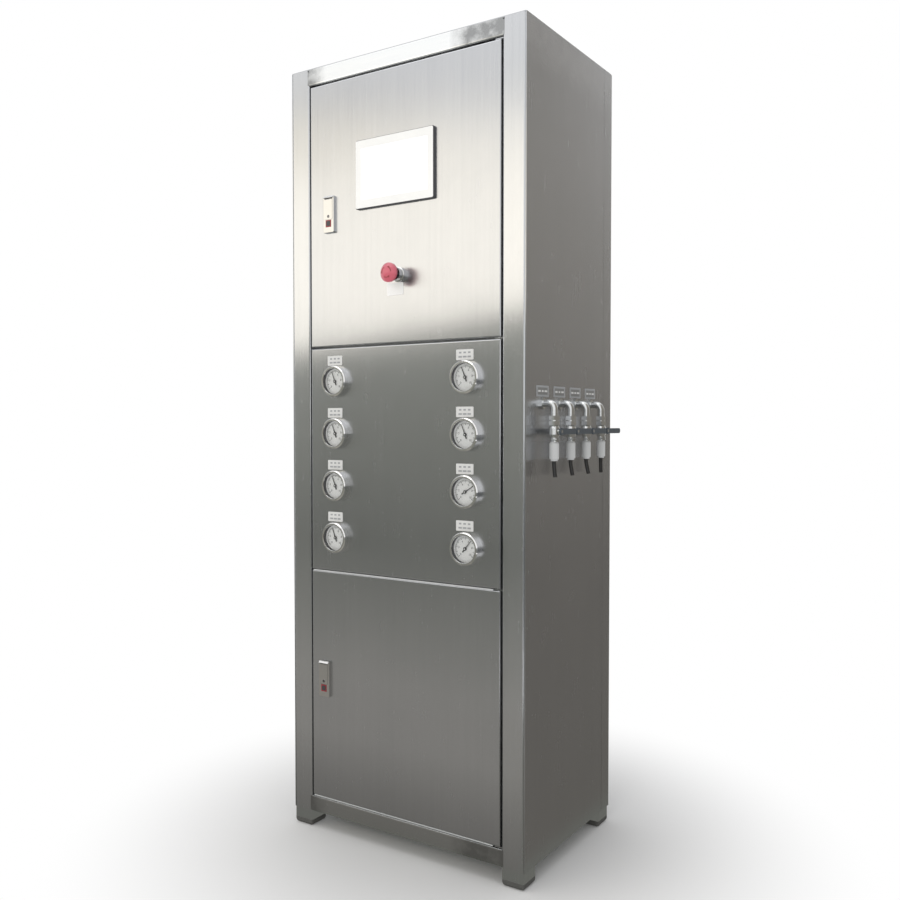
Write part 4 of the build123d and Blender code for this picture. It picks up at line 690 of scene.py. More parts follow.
def grow(name, draw, spots, coat, slot=None, body="cabinet", facing=FACING_FRONT, **sizes):
    """A piece that repeats one drawn shape on spots that face one way, or each its own."""
    grower = Grower(name, sizes)
    draw(grower, **{key: grower.given[key] for key in sizes})
    points = bpy.data.meshes.new(name)
    points.from_pydata(spots, [], [])
    facings = facing if isinstance(facing, list) else [facing] * len(spots)
    for label, bearings in zip(("tilt", "turn"), zip(*facings)):
        points.attributes.new(label, "FLOAT", "POINT").data.foreach_set("value", bearings)
    holder = bpy.data.objects.new(name, points)
    modifier = holder.modifiers.new("grow", "NODES")
    modifier.node_group = grower.tree
    for key, value in {**sizes, "finish": COATS[coat]}.items():
        modifier[grower.identifiers[key]] = value
    mesh = real_mesh(holder)
    if not mesh.polygons:
        raise RuntimeError(f"{name} came out empty")
    settle(name, mesh, body)


def solids(node):
    """The lowest and highest corners of each separate solid of a node, from left to right."""
    built = bmesh.new()
    built.from_mesh(NODES[node].data)
    bmesh.ops.remove_doubles(built, verts=built.verts, dist=WELD)
    boxes, seen = [], set()
    for first in built.verts:
        if first in seen:
            continue
        seen.add(first)
        found, waiting = [], [first]
        while waiting:
            corner = waiting.pop()
            found.append(corner.co.copy())
            for edge in corner.link_edges:
                other = edge.other_vert(corner)
                if other not in seen:
                    seen.add(other)
                    waiting.append(other)
        columns = list(zip(*found))
        boxes.append((Vector(map(min, columns)), Vector(map(max, columns))))
    built.free()
    return sorted(boxes, key=lambda box: (box[0].x, box[0].z))


def spread(first, last, count):
    """Evenly spaced values from the first to the last."""
    return [first + (last - first) * step / (count - 1) for step in range(count)]


def draw_block(grower, width, reach, rise):
    """A plain block."""
    grower.stamp(grower.block(width, reach, rise))


def draw_plate(grower, width, height, rise, corner=0.0005, lift=0.0):
    """A small plate with round corners."""
    grower.stamp(grower.moved(grower.plate(width, height, rise, corner), z=lift))


def draw_screw(grower, radius, rise, sides=20, crown=0.66, slot=0.24, reach=1.05, sunk=0.45):
    """A pan head with a cross recess, turned at random."""
    head = grower.round(radius, rise, sides, crown)
    cross = ((slot, reach), (reach, slot))
    slots = [grower.block(radius * wide, radius * deep, rise, rise * sunk) for wide, deep in cross]
    grower.stamp(grower.cut(head, slots), pi)


def draw_key(grower, radius, rise, sides=28, crown=0.9, slot=0.3, reach=1.3, sunk=0.4):
    """A low cylinder with one slot, such as a lock's."""
    barrel = grower.round(radius, rise, sides, crown)
    grower.stamp(grower.cut(barrel, grower.block(radius * slot, radius * reach, rise, rise * sunk)))


def draw_ticks(
    grower, radius, reach, width, rise, sweep, long_ticks, short_ticks, short=0.55, thin=0.5, points=60
):
    """Long and short marks and the arc of a dial's scale."""
    long_bar = grower.moved(grower.block(width, reach, rise), y=reach * -0.5)
    short_bar = grower.moved(grower.block(width * thin, reach * short, rise), y=reach * (short * -0.5))
    long_marks = grower.along(long_ticks, sweep, radius, long_bar)
    short_marks = grower.along(short_ticks, sweep, radius, short_bar)
    rim = grower.bar(grower.arc(radius, pi / 2 - sweep * 0.5, sweep, points), width * thin, rise)
    grower.stamp(grower.joined(long_marks, short_marks, rim))


def draw_ring(grower, radius, width, rise, sides=48):
    """A flat ring."""
    grower.stamp(grower.bar(grower.circle(radius, sides), width, rise, False))


def number_mesh(text, height, rise):
    """A solid number, centred, facing up."""
    words = bpy.data.curves.new("number", "FONT")
    words.body = text
    words.size = height
    words.extrude = rise / 2
    words.resolution_u = 3
    words.align_x = "CENTER"
    words.align_y = "CENTER"
    mesh = real_mesh(bpy.data.objects.new("number", words))
    bpy.data.curves.remove(words)
    return mesh


class PURIFIER_OT_dials(Operator):
    """Prints the scales and numbers on the eight gauge dials and sets a dark seal ring in each bezel, which also
    paints the shade of its recess
    """

    bl_idname = "purifier.dials"
    bl_label = "Gauge dials"

    numbers = ("0", "2", "4", "6", "8", "10")
    pointer_gap = 0.001

    def execute(self, context):
        sizes = context.scene.purifier_sizes
        faces = [spot + Vector((0.0, self.pointer_gap, 0.0)) for spot in GAUGES]
        grow(
            "gauge_scales",
            draw_ticks,
            faces,
            "dial_ink",
            "pointer_black",
            radius=sizes.tick_radius,
            reach=sizes.tick_length,
            width=sizes.tick_width,
            rise=sizes.tick_rise,
            sweep=sizes.dial_sweep,
            long_ticks=sizes.long_ticks,
            short_ticks=sizes.short_ticks,
        )
        self.print_numbers(sizes, faces)
        # Dark seal rings that also paint the shade inside the bezels.
        shade_seal = {"radius": sizes.shade_seal_radius, "width": sizes.shade_seal_width, "rise": sizes.shade_seal_rise}
        grow("gauge_liners", draw_ring, faces, "dark_plastic", **shade_seal)
        return {"FINISHED"}

    def print_numbers(self, sizes, faces):
        upright = Matrix.Rotation(pi / 2, 4, "X")
        built = bmesh.new()
        bearings = spread(-sizes.dial_sweep / 2, sizes.dial_sweep / 2, len(self.numbers))
        for text, bearing in zip(self.numbers, bearings):
            number = number_mesh(text, sizes.number_height, sizes.tick_rise)
            shift = Vector((sin(bearing), cos(bearing), 0.0)) * sizes.number_radius
            shift.z = sizes.tick_rise / 2
            for face in faces:
                placed = number.copy()
                placed.transform(Matrix.Translation(face) @ upright @ Matrix.Translation(shift))
                built.from_mesh(placed)
                bpy.data.meshes.remove(placed)
            bpy.data.meshes.remove(number)
        mesh = bpy.data.meshes.new("gauge_numbers")
        built.to_mesh(mesh)
        built.free()
        mesh.materials.append(COATS["dial_ink"])
        settle("gauge_numbers", mesh, "cabinet")


def draw_strokes(
    grower, width, height, rise, lift, columns, rows, span=(0.52, 0.4), stroke=(0.23, 0.16), least=0.55
):
    """Plain strokes in rows, of uneven length; the span and a stroke are shares of the plate."""
    sockets = {
        "Size X": width * span[0],
        "Size Y": height * span[1],
        "Vertices X": columns,
        "Vertices Y": rows,
    }
    grid = grower.node("GeometryNodeMeshGrid", sockets)
    uneven = grower.vector(grower.chance(least, 1.0, seed=4), 1.0, 1.0)
    bar = grower.block(width * stroke[0], height * stroke[1], rise, lift)
    grower.stamp(grower.on_points(grid, bar, Scale=uneven))


class PURIFIER_OT_labels(Operator):
    """Puts the small plates above the gauges, under the stop button and beside the outlets"""

    bl_idname = "purifier.labels"
    bl_label = "Small plates"

    stop_offset = Vector((-0.011, 0.0, -0.0285))
    outlet_lift = 0.979
    outlet_shift = 0.004
    outlet_thin = 0.5
    corner = 0.08
    print_rise = 0.3
    print_sunk = 0.9
    field_lift = 1.1
    field_width = 0.8
    field_height = 0.66
    field_corner = 0.06

    def execute(self, context):
        sizes = context.scene.purifier_sizes
        rise = sizes.label_rise
        above = [
            Vector((spot.x - sizes.label_shift, PANEL_FRONT, spot.z + sizes.label_lift)) for spot in GAUGES
        ]
        width, height = sizes.label_width, sizes.label_height
        self.plates("gauge_label", above, "light_grey_plastic", width, height, rise)
        self.strokes("gauge_label", above, "stroke_grey", width, height, rise, self.print_sunk, 2)
        stop = PIVOTS["estop_twist"] + self.stop_offset
        stop.y = PANEL_FRONT
        size = (sizes.stop_label_width, sizes.stop_label_height, rise)
        self.plates("stop_label", [stop], "white_plastic", *size, body="upper_door")
        beside = [Vector((SIDE_FACE, spot.y + self.outlet_shift, self.outlet_lift)) for spot in OUTLETS]
        size = (sizes.outlet_label_width, sizes.outlet_label_height, rise * self.outlet_thin)
        self.plates("outlet_label", beside, "stroke_grey", *size, facing=FACING_RIGHT)
        self.fields("outlet_label", beside, *size)
        coat = "light_grey_plastic"
        self.strokes("outlet_label", beside, coat, *size, self.field_lift, 1, facing=FACING_RIGHT)
        return {"FINISHED"}

    def plates(self, name, spots, coat, width, height, rise, **where):
        size = {"width": width, "height": height, "rise": rise, "corner": height * self.corner}
        grow(f"{name}_plates", draw_plate, spots, coat, "white_plastic", **where, **size)

    def fields(self, name, spots, width, height, rise):
        size = {
            "width": width * self.field_width,
            "height": height * self.field_height,
            "rise": rise * self.print_rise,
            "corner": height * self.field_corner,
            "lift": rise * self.print_sunk,
        }
        coats = ("field_grey", "light_grey_plastic")
        grow(f"{name}_fields", draw_plate, spots, *coats, facing=FACING_RIGHT, **size)

    def strokes(self, name, spots, coat, width, height, rise, lift, rows, **where):
        size = {"width": width, "height": height, "rise": rise * self.print_rise, "lift": rise * lift}
        size |= {"columns": 3, "rows": rows}
        grow(f"{name}_strokes", draw_strokes, spots, coat, "light_grey_plastic", **where, **size)


def draw_brow(grower, width, height, rise, lean):
    """A bar whose face leans back, so that it looks up."""
    grower.stamp(grower.spun(grower.block(width, height, rise), x=0 - lean))


class PURIFIER_OT_latch_trim(Operator):
    """Sets a lock cylinder in each latch paddle, a dark inlay in each button and a bright brow above them"""

    bl_idname = "purifier.latch_trim"
    bl_label = "Latch trim"

    key_drop = 0.0365
    key_rise = 0.0005
    inlay_rise = 0.0004
    inlay_corner = 0.15
    brow_rise = 0.0012
    brow_drop = 0.0026
    brow_inset = 0.002

    def execute(self, context):
        sizes = context.scene.purifier_sizes
        for name in LATCHES:
            latch = f"{name}_latch"
            low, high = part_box(f"{latch}_paddle")
            spot = Vector(((low.x + high.x) / 2, low.y, PIVOTS[f"{latch}_lift"].z - self.key_drop))
            size = {"radius": sizes.key_radius, "rise": self.key_rise}
            grow(f"{latch}_key", draw_key, [spot], "key_steel", "nickel_brass", f"{latch}_paddle", **size)
            low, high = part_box(f"{latch}_button")
            spot = Vector(((low.x + high.x) / 2, low.y, (low.z + high.z) / 2))
            side = sizes.inlay_side
            size = {"width": side, "height": side, "rise": self.inlay_rise}
            size["corner"] = side * self.inlay_corner
            grow(f"{latch}_inlay", draw_plate, [spot], "dark_plastic", body=f"{latch}_button", **size)
            low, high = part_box(f"{latch}_housing")
            spot = Vector(((low.x + high.x) / 2, low.y, high.z - self.brow_drop))
            size = {"width": high.x - low.x - 2 * self.brow_inset, "height": sizes.brow_height}
            size |= {"rise": self.brow_rise, "lean": sizes.brow_lean}
            grow(f"{latch}_brow", draw_brow, [spot], "polished_chrome", body=f"{name}_door", **size)
        return {"FINISHED"}


def draw_front(grower, width, height, rise, corner, window_width, window_height):
    """A plate with round corners and a window."""
    opening = grower.block(window_width, window_height, rise * 3, rise * -1)
    grower.stamp(grower.cut(grower.plate(width, height, rise, corner), opening))


class PURIFIER_OT_screen(Operator):
    """Puts the white front on the screen's dark housing, and dark plates for the vents in its back, a painted
    shade of their slots
    """

    bl_idname = "purifier.screen"
    bl_label = "Screen front"

    corner = 0.003
    vent_width = 0.052
    vent_height = 0.003
    vent_rise = 0.0003
    vent_corner = 0.45
    vent_rows = (-3, -2, -1, 0, 1, 2, 3)
    vent_pitch = 0.007
    vent_shift = 0.045

    def execute(self, context):
        sizes = context.scene.purifier_sizes
        low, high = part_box("screen_housing")
        pane_low, pane_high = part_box("screen_glass")
        middle = (low + high) / 2
        grow(
            "screen_front",
            draw_front,
            [Vector((middle.x, low.y, middle.z))],
            "white_plastic",
            body="upper_door",
            width=high.x - low.x - 2 * sizes.screen_edge,
            height=high.z - low.z - 2 * sizes.screen_edge,
            rise=sizes.screen_rise,
            corner=self.corner,
            window_width=pane_high.x - pane_low.x,
            window_height=pane_high.z - pane_low.z,
        )
        # The vents are flat dark plates without openings: painted shade of the slots.
        vents = [
            Vector((middle.x + shift, high.y, middle.z + row * self.vent_pitch))
            for shift in (-self.vent_shift, self.vent_shift)
            for row in self.vent_rows
        ]
        grow(
            "screen_vents",
            draw_plate,
            vents,
            "gasket_rubber",
            "dark_plastic",
            "upper_door",
            FACING_REAR,
            width=self.vent_width,
            height=self.vent_height,
            rise=self.vent_rise,
            corner=self.vent_height * self.vent_corner,
        )
        return {"FINISHED"}


def draw_arrows(grower, radius, width, rise, sweep, head_width=1.5, head_rise=1.15, count=3, points=14):
    """Curved arrows in a ring, raised on a dome."""
    line = grower.bar(grower.arc(radius, 0.0, sweep, points), width, rise)
    head = grower.spun(grower.prism(3, width * head_width, rise * head_rise), z=sweep + pi / 2)
    tip = grower.moved(head, grower.curve("COSINE", sweep) * radius, grower.curve("SINE", sweep) * radius)
    grower.stamp(grower.around(count, grower.joined(line, tip)))


class PURIFIER_OT_arrows(Operator):
    """Raises the turning arrows on the stop button"""

    bl_idname = "purifier.arrows"
    bl_label = "Turning arrows"

    dome_drop = 0.003

    def execute(self, context):
        sizes = context.scene.purifier_sizes
        low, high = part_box("estop_head")
        spot = (low + high) / 2
        spot.y = low.y + self.dome_drop
        grow(
            "stop_arrows",
            draw_arrows,
            [spot],
            "button_red",
            body="estop_knob",
            radius=sizes.arrow_radius,
            width=sizes.arrow_width,
            rise=sizes.arrow_rise,
            sweep=sizes.arrow_sweep,
        )
        return {"FINISHED"}


class PURIFIER_OT_welds(Operator):
    """Fills the frame's joints with welds ground flush, and lays pale strips on the lower door's top and bottom
    edges that stand in for their highlights, a painted highlight
    """

    bl_idname = "purifier.welds"
    # The edging in this label is the pale strips on the lower door, a painted highlight.
    bl_label = "Welds and edging"

    least_rail = 0.3
    # The pale strips on the lower door are a painted highlight of its edges.
    highlight_strip_inset = 0.003
    highlight_strip_depth = 0.014
    highlight_strip_set_back = 0.0008
    highlight_strip_corner = 0.3

    def execute(self, context):
        sizes = context.scene.purifier_sizes
        side = sizes.weld_side
        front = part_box("frame_rails")[0].y
        rails = [
            (low, high)
            for low, high in solids("frame_rails")
            if high.x - low.x > self.least_rail and low.y - front < side
        ]
        ends = [
            Vector((x, front + side, (low.z + high.z) / 2))
            for low, high in rails
            for x in (low.x - side / 2, high.x + side / 2)
        ]
        low, high = rails[-1]
        finish = ("rail_steel", "frame_steel")
        size = {"width": side, "reach": high.z - low.z - side, "rise": side}
        grow("frame_welds", draw_block, ends, *finish, **size)
        middle = Vector(((low.x + high.x) / 2, front + side, max(box[1].z for box in rails) - side / 2))
        size = {"width": high.x - low.x + 2 * side, "reach": side, "rise": side}
        grow("top_weld", draw_block, [middle], *finish, **size)
        self.lay_highlight_strips(sizes)
        return {"FINISHED"}

    # Pale strips on the lower door's top and bottom edges: a painted highlight.
    def lay_highlight_strips(self, sizes):
        low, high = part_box("lower_door")
        left, right = low.x + self.highlight_strip_inset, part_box("hinge_pintles")[0].x - self.highlight_strip_inset
        back = low.y + self.highlight_strip_set_back + self.highlight_strip_depth
        rise = sizes.highlight_strip_rise
        spots = [Vector(((left + right) / 2, back, z)) for z in (high.z + rise / 2, low.z - rise / 2)]
        size = {"width": right - left, "height": rise, "rise": self.highlight_strip_depth}
        size["corner"] = rise * self.highlight_strip_corner
        grow(
            "lower_door_edging", draw_plate, spots, "duct_grey", "light_grey_plastic", "lower_door", **size
        )


class PURIFIER_OT_screws(Operator):
    """Drives the screws round the rear panel"""

    bl_idname = "purifier.screws"
    bl_label = "Panel screws"

    inset = 0.012
    columns = 4
    rows = 7

    def execute(self, context):
        sizes = context.scene.purifier_sizes
        low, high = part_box("rear_panel")
        xs = spread(low.x + self.inset, high.x - self.inset, self.columns)
        zs = spread(low.z + self.inset, high.z - self.inset, self.rows)
        edges = (xs[0], xs[-1]), (zs[0], zs[-1])
        spots = [Vector((x, REAR_FACE, z)) for x in xs for z in zs if x in edges[0] or z in edges[1]]
        drive_screws("rear_screws", spots, sizes.screw_radius, sizes.screw_rise, FACING_REAR)
        return {"FINISHED"}


def drive_screws(name, spots, radius, rise, facing=FACING_FRONT):
    """Plated screws."""
    size = {"radius": radius, "rise": rise}
    grow(name, draw_screw, spots, "nickel_brass", "polished_chrome", facing=facing, **size)


def draw_thread(grower, radius, pitch, turns, depth=0.42, points=20, sides=6):
    """A screw thread that winds up from the drawing plane."""
    sockets = {
        "Resolution": points,
        "Rotations": turns,
        "Start Radius": radius,
        "End Radius": radius,
        "Height": pitch * turns,
    }
    path = grower.node("GeometryNodeCurveSpiral", sockets)
    grower.stamp(grower.swept(path, grower.circle(pitch * depth, sides)))


class PURIFIER_OT_threads(Operator):
    """Cuts the threads between the outlet valves and their connectors"""

    bl_idname = "purifier.threads"
    bl_label = "Outlet threads"

    turns = 5.0

    def execute(self, context):
        sizes = context.scene.purifier_sizes
        low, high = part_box("outlet_valve_bodies")
        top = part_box("outlet_connectors")[1].z
        spots = [Vector(((low.x + high.x) / 2, spot.y, top)) for spot in OUTLETS]
        size = {"radius": sizes.thread_radius, "pitch": sizes.thread_pitch, "turns": self.turns}
        grow("outlet_threads", draw_thread, spots, "nickel_brass", facing=FACING_UP, **size)
        return {"FINISHED"}


def draw_toggle(grower, width, height, rise, guard=0.3, corner=0.1, lever=(0.55, 0.4), lean=0.35):
    """A switch lever in a raised guard."""
    rim = grower.plate(width, height, rise * guard, width * corner)
    handle = grower.spun(grower.block(width * lever[0], height * lever[1], rise), x=lean)
    grower.stamp(grower.joined(rim, handle))


class PURIFIER_OT_electrics(Operator):
    """Fits out the cable ducts, the control modules and their plate"""

    bl_idname = "purifier.electrics"
    bl_label = "Electrical details"

    least_duct = 0.02
    lid = 0.004
    finger_rise = 0.0012
    nose_share = 0.55
    nose_step = 0.014
    edge = 0.007
    pole = 0.018
    slim = 0.056
    plate_thick = 0.002
    screw_inset = 0.62
    screw_rise = 0.4
    # The wire entries are dark plates without openings: painted shade of the holes.
    entry_inset = 0.2
    entry_width = 0.6
    entry_height = 1.3
    entry_rise = 0.0003
    tag = {"width": 0.034, "height": 0.011, "rise": 0.0004}
    tag_lift = 0.24
    lamp = {"radius": 0.0019, "rise": 0.001}
    lamp_drop = -0.28
    lamp_columns = (-0.3, -0.2, -0.1)
    lever = {"width": 0.012, "height": 0.026, "rise": 0.007}

    def execute(self, context):
        sizes = context.scene.purifier_sizes
        self.fit_ducts(sizes)
        modules = solids("control_modules")
        self.fit_terminals(sizes, modules)
        self.fit_noses(modules)
        self.screw_rails(sizes)
        return {"FINISHED"}

    def screw_rails(self, sizes):
        plate, *rails = solids("electrical_plate")
        columns = (rails[0][0].x + self.pole, rails[0][1].x - self.pole)
        spots = [Vector((x, low.y, (low.z + high.z) / 2)) for low, high in rails for x in columns]
        spots += [Vector((x, plate[1].y - self.plate_thick, plate[0].z + self.pole)) for x in columns]
        drive_screws("plate_screws", spots, sizes.screw_radius, sizes.screw_rise)

    def fit_ducts(self, sizes):
        ducts = [(low, high) for low, high in solids("wiring_ducts") if high.z - low.z > self.least_duct]
        spots, facings = [], []
        for low, high in ducts:
            count = int((high.x - low.x - 2 * self.edge) / sizes.finger_pitch)
            middle = (low.y + self.lid + high.y) / 2
            for x in spread(low.x + self.edge, high.x - self.edge, count):
                spots += [Vector((x, middle, high.z)), Vector((x, middle, low.z))]
                facings += [FACING_UP, FACING_DOWN]
        low, high = ducts[0]
        size = {"width": sizes.finger_width, "reach": high.y - low.y - self.lid - self.edge}
        size["rise"] = self.finger_rise
        grow("duct_fingers", draw_block, spots, "duct_grey", facing=facings, **size)

    def fit_terminals(self, sizes, modules):
        screws, entries = [], []
        for low, high in modules:
            shoulder = (high.z - low.z) * (1 - self.nose_share) / 2
            count = max(2, round((high.x - low.x - self.edge) / sizes.terminal_pitch))
            for x in spread(low.x + self.edge, high.x - self.edge, count):
                for edge, inward in ((high.z, shoulder), (low.z, -shoulder)):
                    for found, inset in ((screws, self.screw_inset), (entries, self.entry_inset)):
                        found.append(Vector((x, low.y + self.nose_step, edge - inward * inset)))
        radius = sizes.terminal_radius
        drive_screws("module_screws", screws, radius, radius * self.screw_rise)
        size = {"width": sizes.terminal_pitch * self.entry_width, "height": radius * self.entry_height}
        # Dark plates for the wire entries: painted shade of the holes.
        grow("module_entries", draw_plate, entries, "dark_plastic", rise=self.entry_rise, **size)

    def fit_noses(self, modules):
        tags, lamps, levers = [], [], []
        for low, high in modules:
            wide, nose = high.x - low.x, (high.z - low.z) * self.nose_share
            centre = Vector(((low.x + high.x) / 2, low.y, (low.z + high.z) / 2))
            if wide < self.slim:
                poles = round(wide / self.pole)
                half = wide / poles / 2
                levers += [Vector((x, low.y, centre.z)) for x in spread(low.x + half, high.x - half, poles)]
                continue
            tags.append(centre + Vector((0.0, 0.0, nose * self.tag_lift)))
            drop = nose * self.lamp_drop
            lamps += [centre + Vector((wide * share, 0.0, drop)) for share in self.lamp_columns]
        grow("module_tags", draw_plate, tags, "white_plastic", **self.tag)
        grow("module_lamps", draw_key, lamps, "lamp_green", "light_grey_plastic", **self.lamp)
        grow("module_levers", draw_toggle, levers, "dark_plastic", **self.lever)


def draw_ribs(grower, count, width, proud, top_radius, foot_radius, height):
    """Upright ribs round a tapered bowl."""
    lean = grower.node("ShaderNodeMath", {0: top_radius - foot_radius, 1: height}, operation="ARCTAN2")
    rib = grower.spun(grower.moved(grower.block(width, proud * 2, height), z=height * -0.5), x=0 - lean)
    placed = grower.moved(rib, y=(top_radius + foot_radius) * 0.5, z=height * 0.5)
    grower.stamp(grower.around(count, placed))


def draw_rods(grower, count, radius, circle, height, nut_width=1.8, nut_rise=1.4, sides=14):
    """Tie rods on a circle, with a nut at each end."""
    nut = grower.prism(6, radius * nut_width, radius * nut_rise)
    rod = grower.prism(sides, radius, height)
    upper = grower.moved(nut, z=height - radius * nut_rise)
    grower.stamp(grower.around(count, grower.moved(grower.joined(rod, nut, upper), y=circle)))


class PURIFIER_OT_water_train(Operator):
    """Ribs the filter bowls and ties the pump's stages"""

    bl_idname = "purifier.water_train"
    bl_label = "Filter and pump details"

    ribs = 14
    grips = 30
    collar = 0.022
    collar_step = 0.004
    grip_sunk = 0.0005
    grip_share = 0.8
    taper = 0.006
    rounding = 0.02
    rods = 4
    stack_height = 0.15
    rod_circle = 0.055

    def execute(self, context):
        sizes = context.scene.purifier_sizes
        bowls = solids("prefilter_bowls")
        low, high = bowls[0]
        tall, radius = high.z - low.z, (high.x - low.x) / 2
        wall, collar = radius - self.collar_step, radius - self.grip_sunk
        sides = (self.ribs, self.rounding, wall, wall - self.taper, tall - self.collar - self.rounding)
        self.rib_bowls("bowl_ribs", sizes, bowls, *sides)
        grip = self.collar * self.grip_share
        foot = tall - self.collar * (1 + self.grip_share) / 2
        self.rib_bowls("bowl_grips", sizes, bowls, self.grips, foot, collar, collar, grip)
        low, high = solids("booster_pump")[-1]
        spot = Vector(((low.x + high.x) / 2, (low.y + high.y) / 2, low.z - self.stack_height))
        grow(
            "pump_tie_rods",
            draw_rods,
            [spot],
            "nickel_brass",
            facing=(0.0, pi / 4),
            count=self.rods,
            radius=sizes.rod_radius,
            circle=self.rod_circle,
            height=self.stack_height,
        )
        return {"FINISHED"}

    def rib_bowls(self, name, sizes, bowls, count, foot, top_radius, foot_radius, height):
        spots = [Vector(((low.x + high.x) / 2, (low.y + high.y) / 2, low.z + foot)) for low, high in bowls]
        size = {"count": count, "width": sizes.rib_width, "proud": sizes.rib_proud}
        size |= {"top_radius": top_radius, "foot_radius": foot_radius, "height": height}
        grow(name, draw_ribs, spots, "bowl_blue", facing=FACING_UP, **size)


def card(name, corners, coat):
    """A flat studio card."""
    mesh = bpy.data.meshes.new(name)
    mesh.from_pydata(corners, [], [(0, 1, 2, 3)])
    mesh.materials.append(coat)
    made = bpy.data.objects.new(name, mesh)
    bpy.context.collection.objects.link(made)
    return made


def softbox(name, centre, target, width, height, radiance, colour, mirrored):
    """An area lamp of an even brightness that faces a target; bright metal may mirror it."""
    light = bpy.data.lights.new(name, "AREA")
    light.shape = "RECTANGLE"
    light.size = width
    light.size_y = height
    light.energy = radiance * pi * width * height
    light.color = colour
    lamp = bpy.data.objects.new(name, light)
    lamp.location = centre
    lamp.rotation_euler = (Vector(target) - Vector(centre)).to_track_quat("-Z", "Y").to_euler()
    lamp.visible_glossy = mirrored
    bpy.context.collection.objects.link(lamp)


class PURIFIER_OT_stage(Operator):
    """Sets up the floor, the light and the camera"""

    bl_idname = "purifier.stage"
    bl_label = "Studio"

    # Each lamp: its place, aim, width, height, brightness and colour, and whether metal mirrors it.
    lamps = {
        "window_box": ((-1.75, -2.75, 1.9), (0.0, -0.1, 1.25), 3.0, 1.3, 0.74, (1.0, 0.87, 0.62), True),
        "ceiling_box": ((-0.4, -0.9, 3.4), (0.0, 0.0, 0.9), 2.4, 2.0, 1.0, WHITE, True),
        "fill_box": ((0.7, -3.3, 1.9), (0.0, 0.0, 1.0), 1.6, 1.6, 2.2, WHITE, False),
    }
    floor_side = 20.0
    floor_fade = (0.22, 0.9)
    card_gap = 0.06
    front_lean = 0.65
    side_lean = 0.9
    floor_reach = 1.1
    floor_lift = 0.002
    back_wall = -2.9
    hue_rise = (0.25, 0.6)

    def execute(self, context):
        scene = context.scene
        studio, tints = scene.purifier_studio, scene.purifier_colours
        scene.view_settings.view_transform = "Standard"
        self.light_room(scene, studio)
        self.lay_floor(tints)
        self.set_cards(tints)
        self.set_camera(scene, studio)
        return {"FINISHED"}

    def light_room(self, scene, studio):
        room = bpy.data.worlds.new("studio_room")
        room.use_nodes = True
        scene.world = room
        nodes = Nodes(room.node_tree)
        nodes.tree.nodes.clear()
        rays = nodes.tree.nodes.new("ShaderNodeLightPath").outputs
        seen = [Wire(nodes, rays[f"Is {kind} Ray"]) for kind in ("Camera", "Glossy", "Transmission")]
        shown = (seen[0] + seen[1] + seen[2]) > 0.5
        strength = shown * (1.0 - studio.ambient) + studio.ambient
        glow = nodes.node("ShaderNodeBackground", {"Color": (*WHITE, 1.0), "Strength": strength})
        nodes.node("ShaderNodeOutputWorld", {"Surface": glow})
        for name, values in self.lamps.items():
            softbox(name, *values)

    def lay_floor(self, tints):
        """A floor that keeps the shadow and fades to white away from the cabinet."""
        coat = Finish("studio_floor")
        dusty = coat.blend(coat.noise(3.0, 3.0), shade(tints.floor, 0.98), shade(tints.floor, 1.02))
        matt = coat.node("ShaderNodeBsdfDiffuse", {"Color": dusty})
        white = coat.node("ShaderNodeEmission", {"Color": (*WHITE, 1.0), "Strength": 1.0})
        reach = coat.node("ShaderNodeVectorMath", {0: coat.place}, "Value", operation="LENGTH")
        fade = coat.rise(reach, *self.floor_fade, interpolation_type="SMOOTHSTEP")
        coat.close(coat.node("ShaderNodeMixShader", {0: fade, 1: matt, 2: white}))
        side = self.floor_side
        corners = [(-side, -side, 0.0), (side, -side, 0.0), (side, side, 0.0), (-side, side, 0.0)]
        card("studio_floor", corners, coat.material)

    def set_cards(self, tints):
        """Cards that only the steel sees, each with its brightness at a few heights."""
        front, front_top = PANEL_FRONT - self.card_gap, PANEL_FRONT - self.front_lean
        side, side_top = SIDE_FACE + self.card_gap, SIDE_FACE + self.side_lean
        near, right = PANEL_FRONT - self.floor_reach, SIDE_FACE + self.floor_reach
        wall, floor = self.back_wall, self.floor_lift
        corners = [(-1.3, front, 0.0), (0.24, front, 0.0), (0.24, front_top, 1.25), (-1.3, front_top, 1.1)]
        tones = ((0.0, 0.2), (0.07, 0.24), (0.17, 0.335), (0.29, 0.34))
        tones += ((0.38, 0.295), (0.6, 0.2), (0.88, 0.27), (1.2, 0.34))
        self.set_card("front_card", corners, tones, tints.front_card, tints.front_foot)
        corners = [(side, -0.3, 0.0), (side, 2.2, 0.0), (side_top, 2.2, 2.8), (side_top, -0.3, 2.8)]
        tones = ((0.0, 0.17), (0.55, 0.18), (1.2, 0.28), (1.8, 0.32), (2.3, 0.28))
        self.set_card("side_card", corners, tones, tints.side_card)
        corners = [(0.4, -2.9, 0.0), (2.4, -0.4, 0.0), (2.4, -0.4, 0.78), (0.4, -2.9, 0.78)]
        tones = ((0.0, 0.12), (0.6, 0.2), (0.78, 0.3))
        self.set_card("corner_card", corners, tones, tints.corner_card)
        corners = [(-1.6, near, floor), (right, near, floor), (right, 2.0, floor), (-1.6, 2.0, floor)]
        self.set_card("floor_card", corners, ((0.0, 0.2), (0.1, 0.2)), tints.front_card)
        corners = [(-5.0, wall, 2.42), (-2.0, wall, 2.42), (-2.0, wall, 2.88), (-5.0, wall, 2.88)]
        self.set_card("high_card", corners, ((2.42, 1.0), (2.55, 0.36), (2.8, 0.36), (2.88, 0.8)))
        corners = [(-5.0, wall, 2.88), (-1.1, wall, 2.88), (-1.1, wall, 3.8), (-5.0, wall, 3.8)]
        self.set_card("rail_card", corners, ((2.88, 1.0), (3.0, 1.09), (3.8, 1.09)))

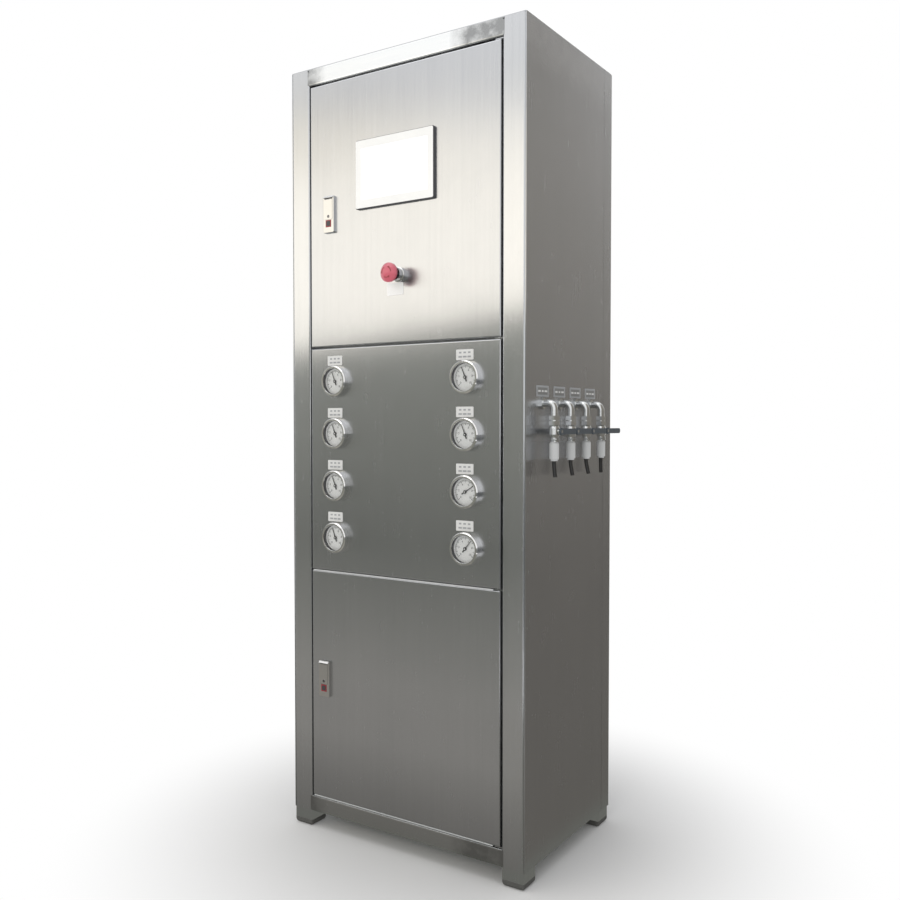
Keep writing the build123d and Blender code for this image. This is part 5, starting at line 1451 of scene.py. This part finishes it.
    def set_card(self, name, corners, tones, colour=WHITE, foot=None):
        coat = Finish(name)
        height = coat.along("Z")
        glow = tones[0][1]
        for (below, first), (above, second) in zip(tones, tones[1:]):
            glow = glow + coat.rise(height, below, above, second - first)
        hue = coat.blend(coat.rise(height, *self.hue_rise), shade(foot or colour, 1.0), shade(colour, 1.0))
        coat.close(coat.node("ShaderNodeEmission", {"Color": hue, "Strength": glow}))
        made = card(name, corners, coat.material)
        made.visible_camera = False
        made.visible_diffuse = False
        made.visible_shadow = False

    def set_camera(self, scene, studio):
        sight = bpy.data.cameras.new("photo_camera")
        sight.sensor_width = 36.0
        sight.lens = studio.lens
        camera = bpy.data.objects.new("photo_camera", sight)
        camera.location = (studio.eye_x, studio.eye_y, studio.eye_z)
        camera.rotation_euler = (pi / 2 - studio.pitch, 0.0, studio.heading)
        bpy.context.collection.objects.link(camera)
        scene.camera = camera


OPERATORS = (
    PURIFIER_OT_finishes,
    PURIFIER_OT_dials,
    PURIFIER_OT_labels,
    PURIFIER_OT_latch_trim,
    PURIFIER_OT_screen,
    PURIFIER_OT_arrows,
    PURIFIER_OT_welds,
    PURIFIER_OT_screws,
    PURIFIER_OT_threads,
    PURIFIER_OT_electrics,
    PURIFIER_OT_water_train,
    PURIFIER_OT_stage,
)


class PURIFIER_PT_panel(Panel):
    """Lists the purifier's operators"""

    bl_idname = "PURIFIER_PT_panel"
    bl_label = "Water purifier"
    bl_space_type = "VIEW_3D"
    bl_region_type = "UI"
    bl_category = "Purifier"

    def draw(self, context):
        for operator in OPERATORS:
            self.layout.operator(operator.bl_idname)


GROUPS = {
    "purifier_sizes": PurifierSizes,
    "purifier_colours": PurifierColours,
    "purifier_studio": PurifierStudio,
}


def register():
    for made in (*GROUPS.values(), *OPERATORS, PURIFIER_PT_panel):
        bpy.utils.register_class(made)
    for name, group in GROUPS.items():
        setattr(bpy.types.Scene, name, PointerProperty(type=group))


def unregister():
    for name in GROUPS:
        delattr(bpy.types.Scene, name)
    for made in (PURIFIER_PT_panel, *reversed(OPERATORS), *GROUPS.values()):
        bpy.utils.unregister_class(made)


def main():
    register()
    for operator in OPERATORS:
        getattr(bpy.ops.purifier, operator.bl_idname.split(".")[1])()


if __name__ == "__main__":
    main()
